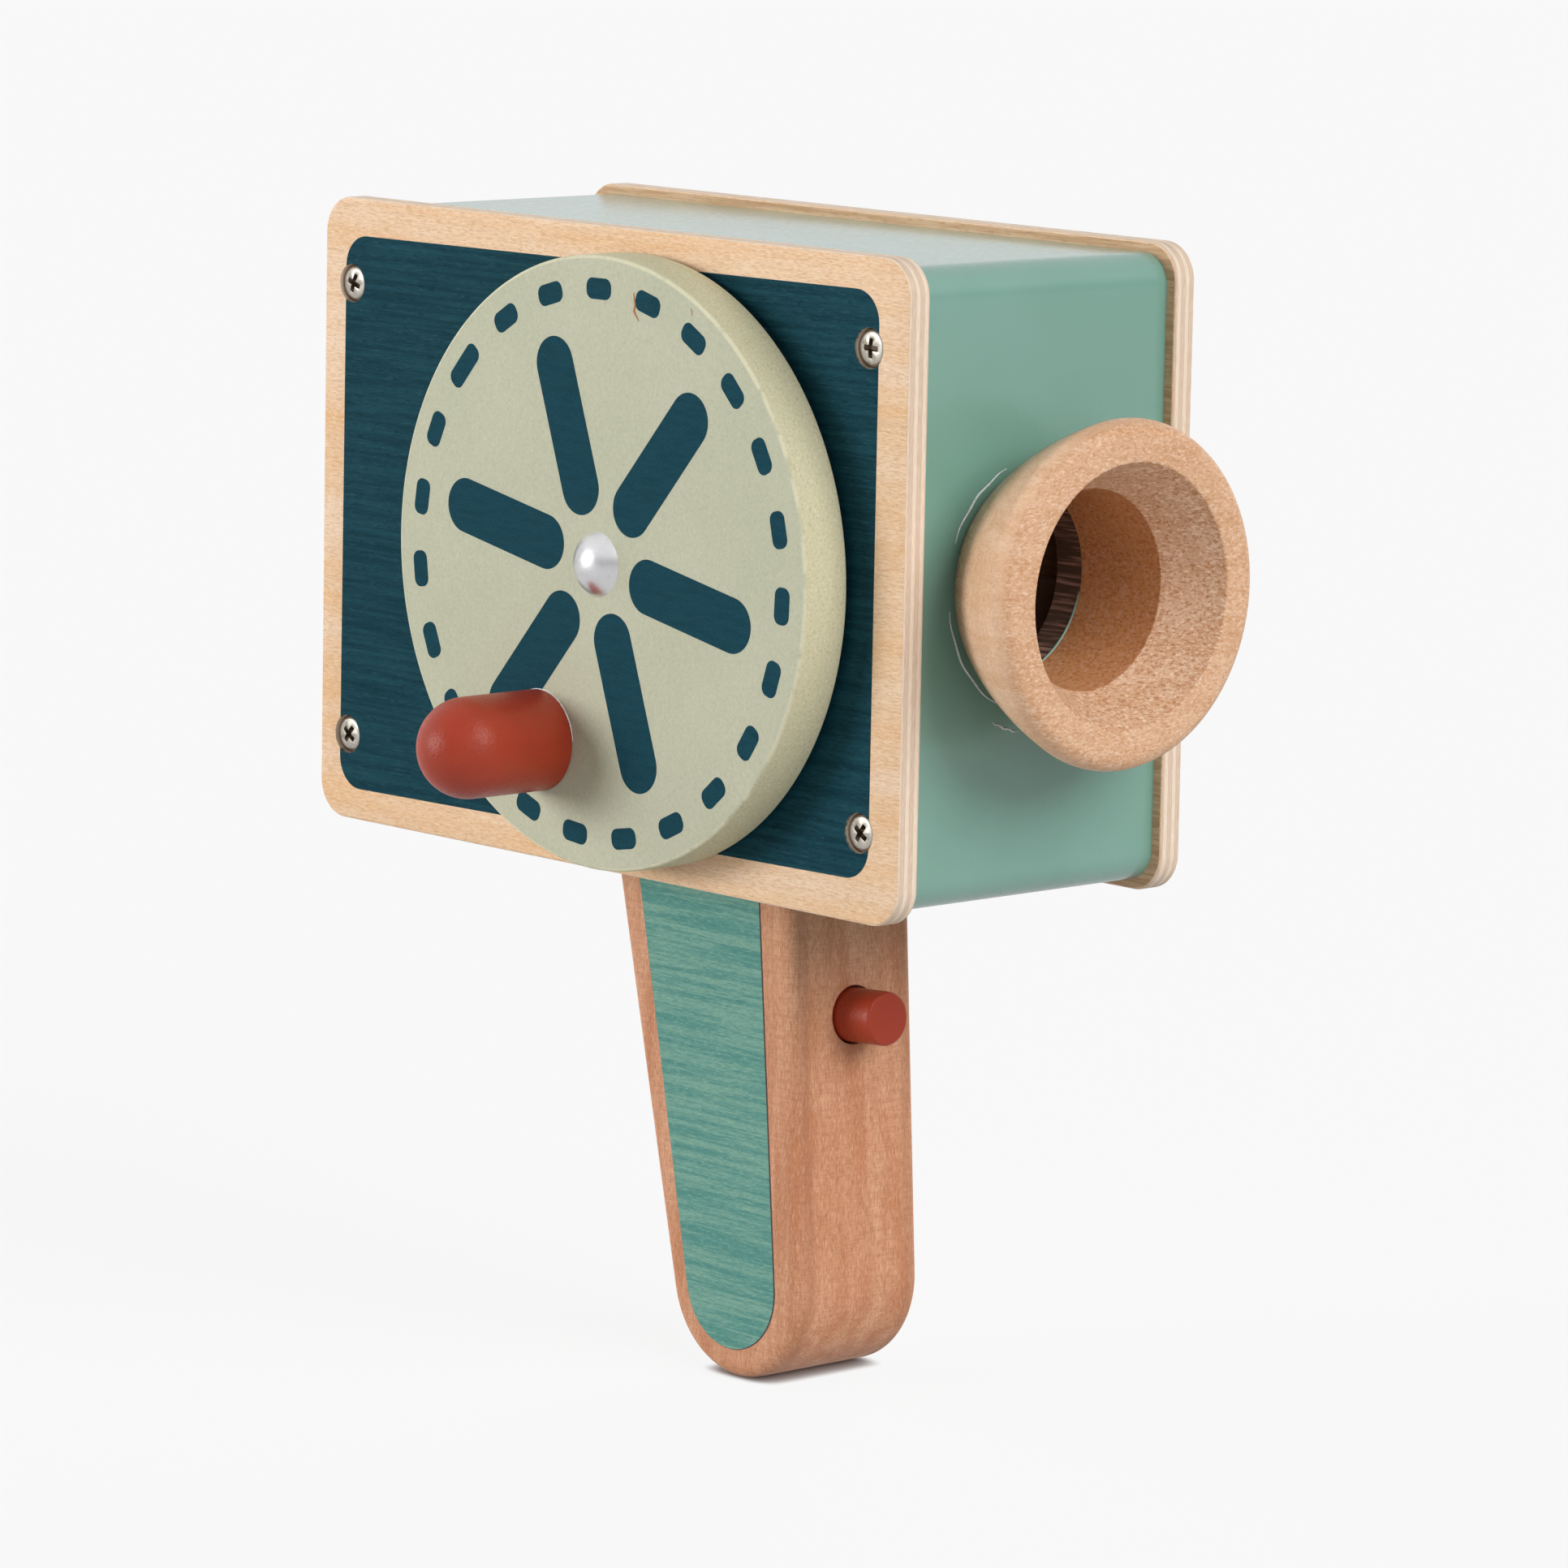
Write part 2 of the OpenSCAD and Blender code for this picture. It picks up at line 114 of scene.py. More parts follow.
class Tree:
    """Builds a shader tree. What is put into a socket is linked if it is a socket itself, and else set."""

    def __init__(self, tree):
        self.tree = tree
        tree.nodes.clear()

    def add(self, kind, *values, **settings):
        """Adds a node. The values go to its first inputs, and None leaves an input as it is."""
        node = self.tree.nodes.new(kind)
        for key, value in settings.items():
            setattr(node, key, value)
        for socket, value in zip(node.inputs, values):
            self.put(value, socket)
        return node

    def put(self, value, socket):
        if isinstance(value, bpy.types.NodeSocket):
            self.tree.links.new(value, socket)
        elif value is not None:
            socket.default_value = value

    def math(self, operation, a, b=0.0, c=0.0):
        return self.add("ShaderNodeMath", a, b, c, operation=operation).outputs[0]

    def times(self, a, b):
        return self.math("MULTIPLY", a, b)

    def vector(self, operation, a, b=None, scale=None):
        return self.add("ShaderNodeVectorMath", a, b, None, scale, operation=operation).outputs

    def band(self, value, low, high, to=(0.0, 1.0)):
        """Smooth step of a value from low to high."""
        node = self.add("ShaderNodeMapRange", value, low, high, *to, interpolation_type="SMOOTHSTEP")
        return node.outputs[0]

    def mix(self, factor, a, b):
        """Mix of two colours."""
        node = self.add("ShaderNodeMix", factor, data_type="RGBA")
        self.put(a, node.inputs[6])
        self.put(b, node.inputs[7])
        return node.outputs[2]


# Materials

# Shift of a pattern, in its own units, for each step of its seed
SEED_STEP = (7.31, 3.17, 5.53)


class Look(Tree):
    """A material, patterned by the piece's own coordinates in millimetres."""

    def __init__(self, name, **constants):
        self.material = bpy.data.materials.new(name)
        self.material.use_nodes = True
        super().__init__(self.material.node_tree)
        self.bsdf = self.add("ShaderNodeBsdfPrincipled")
        self.add("ShaderNodeOutputMaterial", self.bsdf.outputs[0])
        for socket, value in constants.items():
            self.bsdf.inputs[socket.replace("_", " ")].default_value = value
        coords = self.add("ShaderNodeTexCoord").outputs["Object"]
        self.mm = self.vector("SCALE", coords, scale=1 / MM)[0]

    def axis(self, index):
        return self.add("ShaderNodeSeparateXYZ", self.mm).outputs[index]

    def place(self, size, seed):
        """Coordinates in which one unit is size (x, y, z) millimetres."""
        scaled = self.vector("MULTIPLY", self.mm, tuple(1 / s for s in size))[0]
        return self.vector("ADD", scaled, tuple(seed * s for s in SEED_STEP))[0]

    def texture(self, kind, size, seed, **values):
        node = self.add(kind)
        self.put(self.place(size, seed), node.inputs["Vector"])
        node.inputs["Scale"].default_value = 1.0
        for socket, value in values.items():
            node.inputs[socket].default_value = value
        return node.outputs

    def noise(self, size, detail=3.0, rough=0.55, *, seed, bend=0.0):
        values = {"Detail": detail, "Roughness": rough, "Distortion": bend}
        return self.texture("ShaderNodeTexNoise", size, seed, **values)[0]

    def cells(self, size, seed):
        return self.texture("ShaderNodeTexVoronoi", size, seed)["Distance"]

    def tint(self, color, mask, share, other):
        """Lays a share of another sRGB colour over a colour where the mask is 1."""
        return self.mix(self.times(mask, share), color, srgb(*other))

    def radius(self, centre, axes):
        """Distance from a centre over the axes that are 1."""
        moved = self.vector("SUBTRACT", self.mm, centre)[0]
        return self.vector("LENGTH", self.vector("MULTIPLY", moved, axes)[0])["Value"]

    def finish(self, color, rough, height, depth):
        """Sets the colour, the roughness and a bump whose height is depth millimetres."""
        self.put(color, self.bsdf.inputs["Base Color"])
        self.put(rough, self.bsdf.inputs["Roughness"])
        bump = self.add("ShaderNodeBump")
        bump.inputs["Distance"].default_value = depth * MM
        self.put(height, bump.inputs["Height"])
        self.put(bump.outputs[0], self.bsdf.inputs["Normal"])
        return self.material


def ply_face():
    """Clear-coated birch veneer with its grain along X and a dense curly fleck."""
    look = Look("birch_face", Specular_IOR_Level=0.35)
    clouds = look.noise((110, 14, 8), 3.0, seed=1, bend=0.15)
    fibres = look.noise((12, 2, 0.45), 4.0, 0.6, seed=2, bend=0.3)
    flecks = look.band(look.noise((1.7, 1, 0.25), 4.0, 0.65, seed=3, bend=0.35), 0.46, 0.62)
    pale = look.band(look.noise((1.9, 1, 0.28), 4.0, 0.65, seed=4, bend=0.35), 0.50, 0.65)
    color = look.mix(look.band(clouds, 0.30, 0.72), srgb(245, 217, 189), srgb(237, 191, 141))
    color = look.tint(color, look.band(fibres, 0.42, 0.70), 0.35, (216, 174, 130))
    color = look.tint(color, flecks, 0.50, (206, 153, 102))
    color = look.tint(color, pale, 0.42, (250, 230, 206))
    rough = look.band(fibres, 0.3, 0.7, (0.48, 0.62))
    return look.finish(color, rough, fibres, 0.03)


def ply_edge(name, y_outer):
    """Cut edge of the plywood: five layers across Y, with thin glue lines."""
    look = Look(name, Specular_IOR_Level=0.3)
    wave = look.math("MULTIPLY_ADD", look.noise((14, 40, 14), 2.0, seed=5), 0.4, -0.2 - y_outer)
    layer = look.math("PINGPONG", look.math("ADD", look.axis(1), wave), 1.0)
    tan = look.band(layer, 0.38, 0.60)
    line = look.band(look.math("ABSOLUTE", look.math("SUBTRACT", layer, 0.5)), 0.0, 0.09, (1.0, 0.0))
    streak = look.noise((2.4, 0.16, 2.4), 3.0, 0.6, seed=6)
    color = look.mix(tan, srgb(238, 219, 198), srgb(217, 191, 168))
    color = look.tint(color, line, 0.45, (168, 134, 108))
    color = look.tint(color, look.band(streak, 0.42, 0.70), 0.45, (216, 186, 158))
    color = look.tint(color, look.band(streak, 0.58, 0.34), 0.35, (247, 234, 219))
    return look.finish(color, 0.62, streak, 0.05)


def raw_wood():
    """Bare wood inside the box, streaked along X. Well inside the box it is darkened to a dark brown as
    painted shade.
    """
    look = Look("raw_wood", Specular_IOR_Level=0.2)
    streaks = look.noise((22, 0.7, 0.9), 4.0, 0.65, seed=7, bend=0.3)
    flecks = look.band(look.noise((2.2, 0.4, 0.4), 2.0, seed=8), 0.54, 0.68)
    reach = look.math("MAXIMUM", look.math("SUBTRACT", look.math("ABSOLUTE", look.axis(0)), X_FRONT),
                      look.math("SUBTRACT", look.math("ABSOLUTE", look.axis(2)), Z_TOP))
    # Painted shade: the wood well inside the box is darkened, and the overhang that lies open is not
    painted_shade_inside = look.band(reach, -LONG_T, 1.0 - LONG_T, (1.0, 0.0))
    color = look.mix(look.band(streaks, 0.36, 0.64), srgb(222, 190, 156), srgb(196, 156, 120))
    color = look.tint(color, flecks, 0.4, (172, 130, 96))
    color = look.tint(color, painted_shade_inside, 0.72, (88, 62, 52))
    return look.finish(color, 0.75, streaks, 0.08)


def shaded_hole_wood():
    """Bare wood of the hole behind the lens, painted dark as shade, with paler streaks along it: grain
    lightened as painted light.
    """
    look = Look("shaded_hole_wood", Specular_IOR_Level=0.2)
    streaks = look.noise((18, 1.0, 0.8), 3.0, 0.6, seed=9, bend=0.4)
    # Painted shade: a dark brown for the hole's wall, whose paler streaks stand for grain with painted light
    # on it
    color = look.mix(look.band(streaks, 0.46, 0.70), srgb(92, 75, 63), srgb(184, 146, 132))
    return look.finish(color, 0.7, streaks, 0.06)


def teal_stain():
    """Dark satin stain, thin enough for the grain to show as streaks and pores along X."""
    look = Look("teal_stain", Specular_IOR_Level=0.05)
    streaks = look.noise((34, 4, 1.1), 4.0, 0.65, seed=11, bend=0.2)
    hairs = look.band(look.noise((2.4, 2, 0.26), 4.0, 0.65, seed=12, bend=0.25), 0.52, 0.74)
    pores = look.noise((1.7, 2, 0.55), 2.0, 0.5, seed=13, bend=0.5)
    graded_mask = look.times(pores, look.band(look.axis(0), 0.0, 70.0, (0.4, 1.0)))
    color = look.mix(look.band(streaks, 0.34, 0.68), srgb(14, 55, 66), srgb(27, 72, 84))
    color = look.tint(color, hairs, 0.36, (60, 106, 116))
    color = look.tint(color, look.band(pores, 0.60, 0.72), 0.5, (14, 42, 50))
    rough = look.band(pores, 0.35, 0.65, (0.36, 0.52))
    return look.finish(color, rough, graded_mask, 0.17)


def paint(name, low, high, rough, peel_size, peel_depth, **constants):
    """Sprayed paint with faint clouds of colour, specks and a fine orange peel."""
    look = Look(name, **constants)
    clouds = look.noise((30, 30, 30), 3.0, seed=21)
    peel = look.noise((peel_size,) * 3, 2.0, seed=22)
    specks = look.band(look.cells((3.4, 3.4, 3.4), seed=23), 0.02, 0.12, (1.0, 0.0))
    color = look.mix(look.band(clouds, 0.35, 0.65), srgb(*low), srgb(*high))
    color = look.tint(color, specks, 0.10, shade(low, 0.72))
    spread = look.band(peel, 0.3, 0.7, (rough - 0.06, rough + 0.06))
    return look.finish(color, spread, peel, peel_depth)


def wheel_paint():
    """Matte sage paint, grainy, with a pale line round the face, rubbed paint and a painted highlight of the
    edge, and specks on the side.
    """
    look = Look("sage_paint", Specular_IOR_Level=0.25)
    clouds = look.noise((26, 26, 26), 3.0, seed=24)
    grains = look.noise((0.55, 0.55, 0.55), 2.0, 0.6, seed=25)
    reach = look.radius((CRANK_X, Y_WHEEL, CRANK_Z), (1, 0, 1))
    side = look.band(reach, WHEEL_R - 0.5, WHEEL_R - 0.1)
    depth = look.axis(1)
    near_face = look.band(depth, Y_WHEEL + 0.3, Y_WHEEL + 0.7, (1.0, 0.0))
    # Pale line round the face's edge: partly rubbed paint, partly a painted highlight of the rounded edge
    edge = look.times(look.band(reach, WHEEL_R - 0.75, WHEEL_R - 0.5), near_face)
    wear_and_highlight = look.times(edge, look.band(look.noise((7, 7, 7), 3.0, 0.7, seed=26), 0.36, 0.50))
    dirt = look.times(look.band(look.cells((1.1, 1.1, 1.1), seed=27), 0.05, 0.22, (1.0, 0.0)),
                      look.band(depth, Y_WHEEL + 6.0, Y_WHEEL + WHEEL_T))
    color = look.mix(look.band(clouds, 0.35, 0.65), srgb(191, 192, 167), srgb(195, 195, 171))
    color = look.tint(color, side, 0.75, (203, 197, 162))
    rough_side = look.math("MULTIPLY_ADD", side, 0.22, 0.20)
    dark = look.times(look.band(grains, 0.54, 0.70), rough_side)
    pale = look.times(look.band(grains, 0.46, 0.32), rough_side)
    color = look.tint(color, dark, 1.0, (156, 154, 124))
    color = look.tint(color, pale, 1.0, (222, 220, 194))
    color = look.tint(color, wear_and_highlight, 0.70, (224, 220, 190))
    color = look.tint(color, dirt, 0.35, (128, 124, 96))
    return look.finish(color, look.band(grains, 0.3, 0.7, (0.52, 0.68)), grains, 0.035)


def print_ink():
    """Ink of the wheel's print, grainy like the paint below it."""
    look = Look("print_ink", Specular_IOR_Level=0.04)
    mottle = look.noise((0.32, 0.32, 0.32), 3.0, 0.7, seed=31)
    streaks = look.noise((7, 2, 1.2), 3.0, seed=32)
    color = look.mix(look.band(mottle, 0.30, 0.72), srgb(18, 61, 73), srgb(34, 77, 89))
    color = look.tint(color, look.band(streaks, 0.42, 0.72), 0.40, (16, 54, 66))
    return look.finish(color, 0.52, mottle, 0.03)


def maple():
    """Turned maple: a dense curly fleck, with faint bands across the turning."""
    look = Look("maple", Specular_IOR_Level=0.4)
    bands = look.noise((16, 26, 3.2), 3.0, 0.6, seed=41, bend=0.8)
    flecks = look.band(look.noise((0.85, 1.1, 0.50), 4.0, 0.65, seed=43, bend=0.5), 0.46, 0.62)
    light = look.band(look.noise((0.85, 1.1, 0.48), 4.0, 0.65, seed=44, bend=0.5), 0.50, 0.64)
    strokes = look.band(look.noise((0.8, 9, 0.8), 4.0, 0.7, seed=47, bend=0.2), 0.50, 0.70)
    rings = look.noise((2.2, 20, 20), 3.0, 0.6, seed=45)
    cracks = look.band(look.noise((0.35, 5, 2.6), 2.0, seed=46), 0.66, 0.76)
    lens_end = X_FRONT + LENS_L
    mouth_end = lens_end - MOUTH_DEPTH
    front = look.band(look.axis(0), lens_end - 2.4, lens_end - 0.6)
    reach = look.radius((0, Y_MID, 0), (0, 1, 1))
    inside = look.band(reach, MOUTH_R, MOUTH_R + 0.8, (1.0, 0.0))
    curl = look.math("MAXIMUM", look.math("MAXIMUM", look.times(front, 0.6), inside), 0.30)
    color = look.mix(look.band(bands, 0.36, 0.66), srgb(232, 194, 162), srgb(221, 177, 140))
    color = look.tint(color, look.band(rings, 0.44, 0.66), 0.3, (206, 162, 126))
    behind = look.band(look.axis(0), mouth_end - 0.3, mouth_end + 0.3, (1.0, 0.0))
    bore = look.times(behind, look.band(reach, BORE_R + 0.1, BORE_R + 0.6, (1.0, 0.0)))
    color = look.tint(color, bore, 0.70, (220, 149, 84))
    pale = look.math("MULTIPLY_ADD", bore, -0.55, 1.0)
    color = look.tint(color, front, 0.24, (206, 148, 100))
    color = look.tint(color, look.times(strokes, front), 0.40, (208, 150, 104))
    color = look.tint(color, look.times(flecks, curl), 0.70, (184, 117, 66))
    color = look.tint(color, look.times(light, look.times(curl, pale)), 0.72, (252, 228, 204))
    color = look.tint(color, cracks, 0.35, (172, 128, 96))
    return look.finish(color, look.band(flecks, 0.0, 1.0, (0.40, 0.52)), flecks, 0.02)


def beech():
    """Beech with short dark rays along Z and a fine cross grain."""
    look = Look("beech", Specular_IOR_Level=0.35)
    bands = look.noise((5, 6, 46), 3.0, 0.6, seed=51, bend=0.5)
    rays = look.band(look.noise((0.28, 0.32, 1.5), 4.0, 0.65, seed=52, bend=0.3), 0.46, 0.64)
    light = look.band(look.noise((0.34, 0.40, 1.4), 4.0, 0.65, seed=53, bend=0.3), 0.50, 0.66)
    cross = look.band(look.noise((4.5, 4.5, 0.30), 3.0, 0.6, seed=54), 0.47, 0.62)
    edge = look.math("SUBTRACT", look.radius((0, Y_MID, 0), (0, 1, 0)), GRIP_T / 2 - GRIP_EDGE)
    # A darker strip along the borders of the grip's narrow faces, where the eased edges begin
    graded_mask = look.times(look.band(edge, -2.6, -0.4), look.band(edge, 0.3, 1.6, (1.0, 0.0)))
    color = look.mix(look.band(bands, 0.34, 0.66), srgb(218, 163, 128), srgb(196, 133, 96))
    color = look.tint(color, cross, 0.42, (184, 122, 84))
    color = look.tint(color, rays, 0.55, (166, 104, 72))
    color = look.tint(color, light, 0.46, (230, 182, 150))
    color = look.tint(color, graded_mask, 0.30, (150, 100, 74))
    rough = look.band(bands, 0.3, 0.7, (0.46, 0.56))
    return look.finish(color, rough, rays, 0.02)


def panel_stain():
    """Green stain on the grip, streaked along X by the wood below."""
    look = Look("panel_stain", Specular_IOR_Level=0.3)
    streaks = look.noise((30, 4, 1.1), 4.0, 0.7, seed=55, bend=0.15)
    grain = look.noise((1.5, 1, 0.24), 4.0, 0.7, seed=56, bend=0.35)
    color = look.mix(look.band(streaks, 0.38, 0.62), srgb(76, 138, 129), srgb(116, 162, 146))
    color = look.tint(color, look.band(grain, 0.48, 0.66), 0.42, (66, 122, 114))
    color = look.tint(color, look.band(grain, 0.50, 0.34), 0.42, (146, 184, 162))
    return look.finish(color, 0.5, grain, 0.03)


def metal(name, base, rough, seed, spots):
    """Metal with fine scratches and darker spots."""
    look = Look(name, Metallic=1.0)
    scratches = look.noise((2.5, 0.2, 0.2), 3.0, seed=seed)
    stain = look.noise((1.6, 1.6, 1.6), 3.0, 0.6, seed=seed + 1)
    color = look.tint(srgb(*base), look.band(stain, 0.50, 0.68), spots, shade(base, 0.7))
    return look.finish(color, look.band(scratches, 0.3, 0.7, (rough, rough + 0.12)), scratches, 0.004)


def dull(name, base, rough, size, depth):
    """Plain stuff such as glue or a bare edge, with lumps."""
    look = Look(name, Specular_IOR_Level=0.4)
    lumps = look.noise((size,) * 3, 2.0, seed=61)
    color = look.mix(look.band(lumps, 0.35, 0.65), srgb(*base), srgb(*shade(base, 0.88)))
    return look.finish(color, rough, lumps, depth)


LOOKS = {
    "face": ply_face(),
    "edge_right": ply_edge("ply_edge_right", Y_FACE),
    "edge_left": ply_edge("ply_edge_left", 0.0),
    "raw": raw_wood(),
    "shaded_hole": shaded_hole_wood(),
    "teal": teal_stain(),
    "green": paint("green_paint", (116, 161, 146), (121, 165, 151), 0.34, 1.1, 0.03,
                   Specular_IOR_Level=0.5, Coat_Weight=1.0, Coat_Roughness=0.16),
    "sage": wheel_paint(),
    "red": paint("red_paint", (156, 51, 28), (168, 59, 34), 0.36, 0.55, 0.11, Specular_IOR_Level=0.45),
    "print": print_ink(),
    "maple": maple(),
    "beech": beech(),
    "panel": panel_stain(),
    "steel": metal("steel", (204, 197, 186), 0.30, 71, 0.5),
    "bright": metal("bright_metal", (248, 248, 250), 0.28, 74, 0.14),
    # Darker steel in the screws' cross recesses, as painted shade
    "recess_shade": metal("recess_shade_steel", (112, 98, 84), 0.45, 77, 0.5),
    # Near-white glue, whose colour is in part a painted highlight
    "glue_and_highlight": dull("dried_glue_and_highlight", (246, 248, 246), 0.3, 0.6, 0.05),
    "border": dull("panel_border", (84, 62, 60), 0.6, 0.8, 0.02),
    "scuff": dull("scuffed_wood", (196, 138, 92), 0.7, 0.5, 0.03),
}


# Mesh helpers

# Least radius of a corner that is drawn in
LEAST_R = 0.05


def piece(name, bm, looks, body, nodes=(), *, slot):
    """Makes an object of a bmesh in millimetres that rides on a body and stands for CAD nodes."""
    bmesh.ops.scale(bm, vec=(MM, MM, MM), verts=bm.verts)
    bmesh.ops.recalc_face_normals(bm, faces=bm.faces)
    mesh = bpy.data.meshes.new(name)
    bm.to_mesh(mesh)
    bm.free()
    mesh.shade_smooth()
    mesh.set_sharp_from_angle(angle=math.radians(SHARP))
    obj = bpy.data.objects.new(name, mesh)
    bpy.context.scene.collection.objects.link(obj)
    for look in looks:
        mesh.materials.append(LOOKS[look])
    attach(obj, body)
    if nodes:
        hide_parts(*nodes)
    return obj


def evenly(low, high, steps):
    """Even values from low to high, both included."""
    return [low + (high - low) * k / steps for k in range(steps + 1)]


def rounded(corners, closed=False, steps=6):
    """Points of a flat path whose corners (u, v, radius) are eased by arcs."""
    points = []
    count = len(corners)
    for i, (u, v, r) in enumerate(corners):
        at = Vector((u, v))
        if r <= 0 or (not closed and i in (0, count - 1)):
            points.append(at)
            continue
        back = (Vector(corners[i - 1][:2]) - at).normalized()
        on = (Vector(corners[(i + 1) % count][:2]) - at).normalized()
        half = back.angle(on) / 2
        centre = at + (back + on).normalized() * (r / math.sin(half))
        first = at + back * (r / math.tan(half)) - centre
        last = at + on * (r / math.tan(half)) - centre
        start = math.atan2(first.y, first.x)
        sweep = (math.atan2(last.y, last.x) - start + math.pi) % (2 * math.pi) - math.pi
        for k in range(steps + 1):
            angle = start + sweep * k / steps
            points.append(centre + r * Vector((math.cos(angle), math.sin(angle))))
    return [tuple(p) for p in points]


def rectangle(x_low, x_high, z_low, z_high, r, steps=14):
    """Outline of a rounded rectangle, as a function of how far it is drawn in."""
    def outline(inset=0.0):
        low, high = x_low + inset, x_high - inset
        bottom, top = z_low + inset, z_high - inset
        corners = [(low, bottom), (high, bottom), (high, top), (low, top)]
        return rounded([(x, z, max(r - inset, LEAST_R)) for x, z in corners], True, steps)
    return outline


def fixed(points):
    """An outline that isn't drawn in."""
    return lambda inset=0.0: points


def ring(bm, centre, r, u, v, count):
    """Vertices of a circle in the plane of u and v."""
    turns = (2 * math.pi * k / count for k in range(count))
    return [bm.verts.new(centre + r * (u * math.cos(t) + v * math.sin(t))) for t in turns]


def skin(bm, rings):
    """Closes a bmesh with faces between rings of one length and over both ends."""
    for a, b in zip(rings, rings[1:]):
        for i in range(len(a)):
            j = (i + 1) % len(a)
            bm.faces.new((a[i], a[j], b[j], b[i]))
    bm.faces.new(rings[0])
    bm.faces.new(rings[-1])
    return bm


def slab(outline, y_low, y_high, ease=0.0, steps=4):
    """Plate across Y with an XZ outline and eased edges."""
    levels = [(0.0, 0.0)]
    if ease > 0:
        turns = evenly(0, math.pi / 2, steps)
        levels = [(ease * (1 - math.sin(t)), ease * (1 - math.cos(t))) for t in turns]
    rows = [(inset, y_low + rise) for inset, rise in levels]
    rows += [(inset, y_high - rise) for inset, rise in reversed(levels)]
    bm = bmesh.new()
    return skin(bm, [[bm.verts.new((x, y, z)) for x, z in outline(inset)] for inset, y in rows])


def lathe(profile, origin, axis, segments, closed=True):
    """Revolves a profile of (radius, height) round an axis. A radius of 0 ends in a pole."""
    w = Vector(axis).normalized()
    u = w.orthogonal().normalized()
    v = w.cross(u)
    base = Vector(origin)
    bm = bmesh.new()
    rows = []
    for r, h in profile:
        centre = base + w * h
        rows.append(ring(bm, centre, r, u, v, segments) if r > 0 else [bm.verts.new(centre)])
    pairs = list(zip(rows, rows[1:])) + ([(rows[-1], rows[0])] if closed else [])
    for a, b in pairs:
        for k in range(segments):
            j = (k + 1) % segments
            quad = [a[k % len(a)], a[j % len(a)], b[j % len(b)], b[k % len(b)]]
            corners = list(dict.fromkeys(quad))
            if len(corners) > 2:
                bm.faces.new(corners)
    return bm


def rod(r, low, high, origin, axis, segments=64):
    """Closed cylinder along an axis between two heights."""
    profile = [(0.0, low), (r, low), (r, high), (0.0, high)]
    return lathe(profile, origin, axis, segments, closed=False)


def tube(path, radius, sides=8):
    """Closed tube along a path of points. radius is a function of the share of the way."""
    bm = bmesh.new()
    last = len(path) - 1
    rings = []
    for i, at in enumerate(path):
        along = (path[min(i + 1, last)] - path[max(i - 1, 0)]).normalized()
        u = along.orthogonal().normalized()
        if rings:
            u = (guide - along * guide.dot(along)).normalized()
        guide = u
        rings.append(ring(bm, at, radius(i / last), u, along.cross(u), sides))
    return skin(bm, rings)


def swell(radius, thin, power=1.0):
    """Radius of a tube that is thin at both ends, by the share of the way."""
    return lambda t: radius * (thin + (1 - thin) * math.sin(math.pi * t) ** power)


def join(parts):
    """One bmesh of several."""
    whole = bmesh.new()
    for bm in parts:
        mesh = bpy.data.meshes.new("part")
        bm.to_mesh(mesh)
        bm.free()
        whole.from_mesh(mesh)
        bpy.data.meshes.remove(mesh)
    return whole


def cut(bm, tools, ease=0.0):
    """Takes the tools out of a bmesh, and eases the sharp edges by a small bevel."""
    def as_object(shape):
        bmesh.ops.recalc_face_normals(shape, faces=shape.faces)
        mesh = bpy.data.meshes.new("cut")
        shape.to_mesh(mesh)
        shape.free()
        obj = bpy.data.objects.new("cut", mesh)
        bpy.context.scene.collection.objects.link(obj)
        return obj

    blank = as_object(bm)
    made = [blank]
    for tool in tools:
        cutter = as_object(tool)
        made.append(cutter)
        step = blank.modifiers.new("hole", "BOOLEAN")
        step.object = cutter
        step.operation = "DIFFERENCE"
        step.solver = "EXACT"
    if ease > 0:
        step = blank.modifiers.new("ease", "BEVEL")
        step.width = ease
        step.segments = 2
        step.limit_method = "ANGLE"
        step.angle_limit = math.radians(EASED)
    graph = bpy.context.evaluated_depsgraph_get()
    result = bmesh.new()
    result.from_mesh(blank.evaluated_get(graph).to_mesh())
    for obj in made:
        mesh = obj.data
        bpy.data.objects.remove(obj)
        bpy.data.meshes.remove(mesh)
    return result


def paint_faces(obj, index, where):
    """Gives the faces for which where(centre in mm, normal) holds another of the piece's materials."""
    for face in obj.data.polygons:
        if where(face.center / MM, face.normal):
            face.material_index = index


# Side plates

# Cosines to Y below which a face of a plate is its edge, and above which it is its broad face
EDGE_BELOW, FACE_ABOVE = 0.75, 0.9


def in_face(r, x, z, y_low, y_high):
    """Tool for a hole in the right plate, by depths from its outer face."""
    return rod(r, y_low, y_high, (x, Y_FACE, z), ALONG_Y)


plate_outline = rectangle(-PLATE_L / 2, PLATE_L / 2, -PLATE_H / 2, PLATE_H / 2, PLATE_R)
plate_holes = [in_face(AXLE_R + AXLE_PLAY, CRANK_X, CRANK_Z, -CUT, PLATE_T + CUT)]
for x, z in SCREWS:
    plate_holes.append(in_face(SINK_R, x, z, -CUT, SINK_L))
    plate_holes.append(in_face(SHANK_HOLE_R, x, z, -CUT, PLATE_T + CUT))
plates = [
    piece("side_right", cut(slab(plate_outline, Y_FACE, Y_RIGHT_IN, PLATE_EASE), plate_holes, HOLE_EASE),
          ["face", "edge_right", "raw"], "body", ["right_side_plate"], slot="birch_ply"),
    piece("side_left", slab(plate_outline, Y_LEFT_IN, 0.0, PLATE_EASE),
          ["face", "edge_left", "raw"], "body", ["left_side_plate"], slot="birch_ply"),
]
for plate, inward in zip(plates, (1, -1)):
    paint_faces(plate, 1, lambda at, n: abs(n.y) < EDGE_BELOW)
    paint_faces(plate, 2, lambda at, n: n.y * inward > FACE_ABOVE)

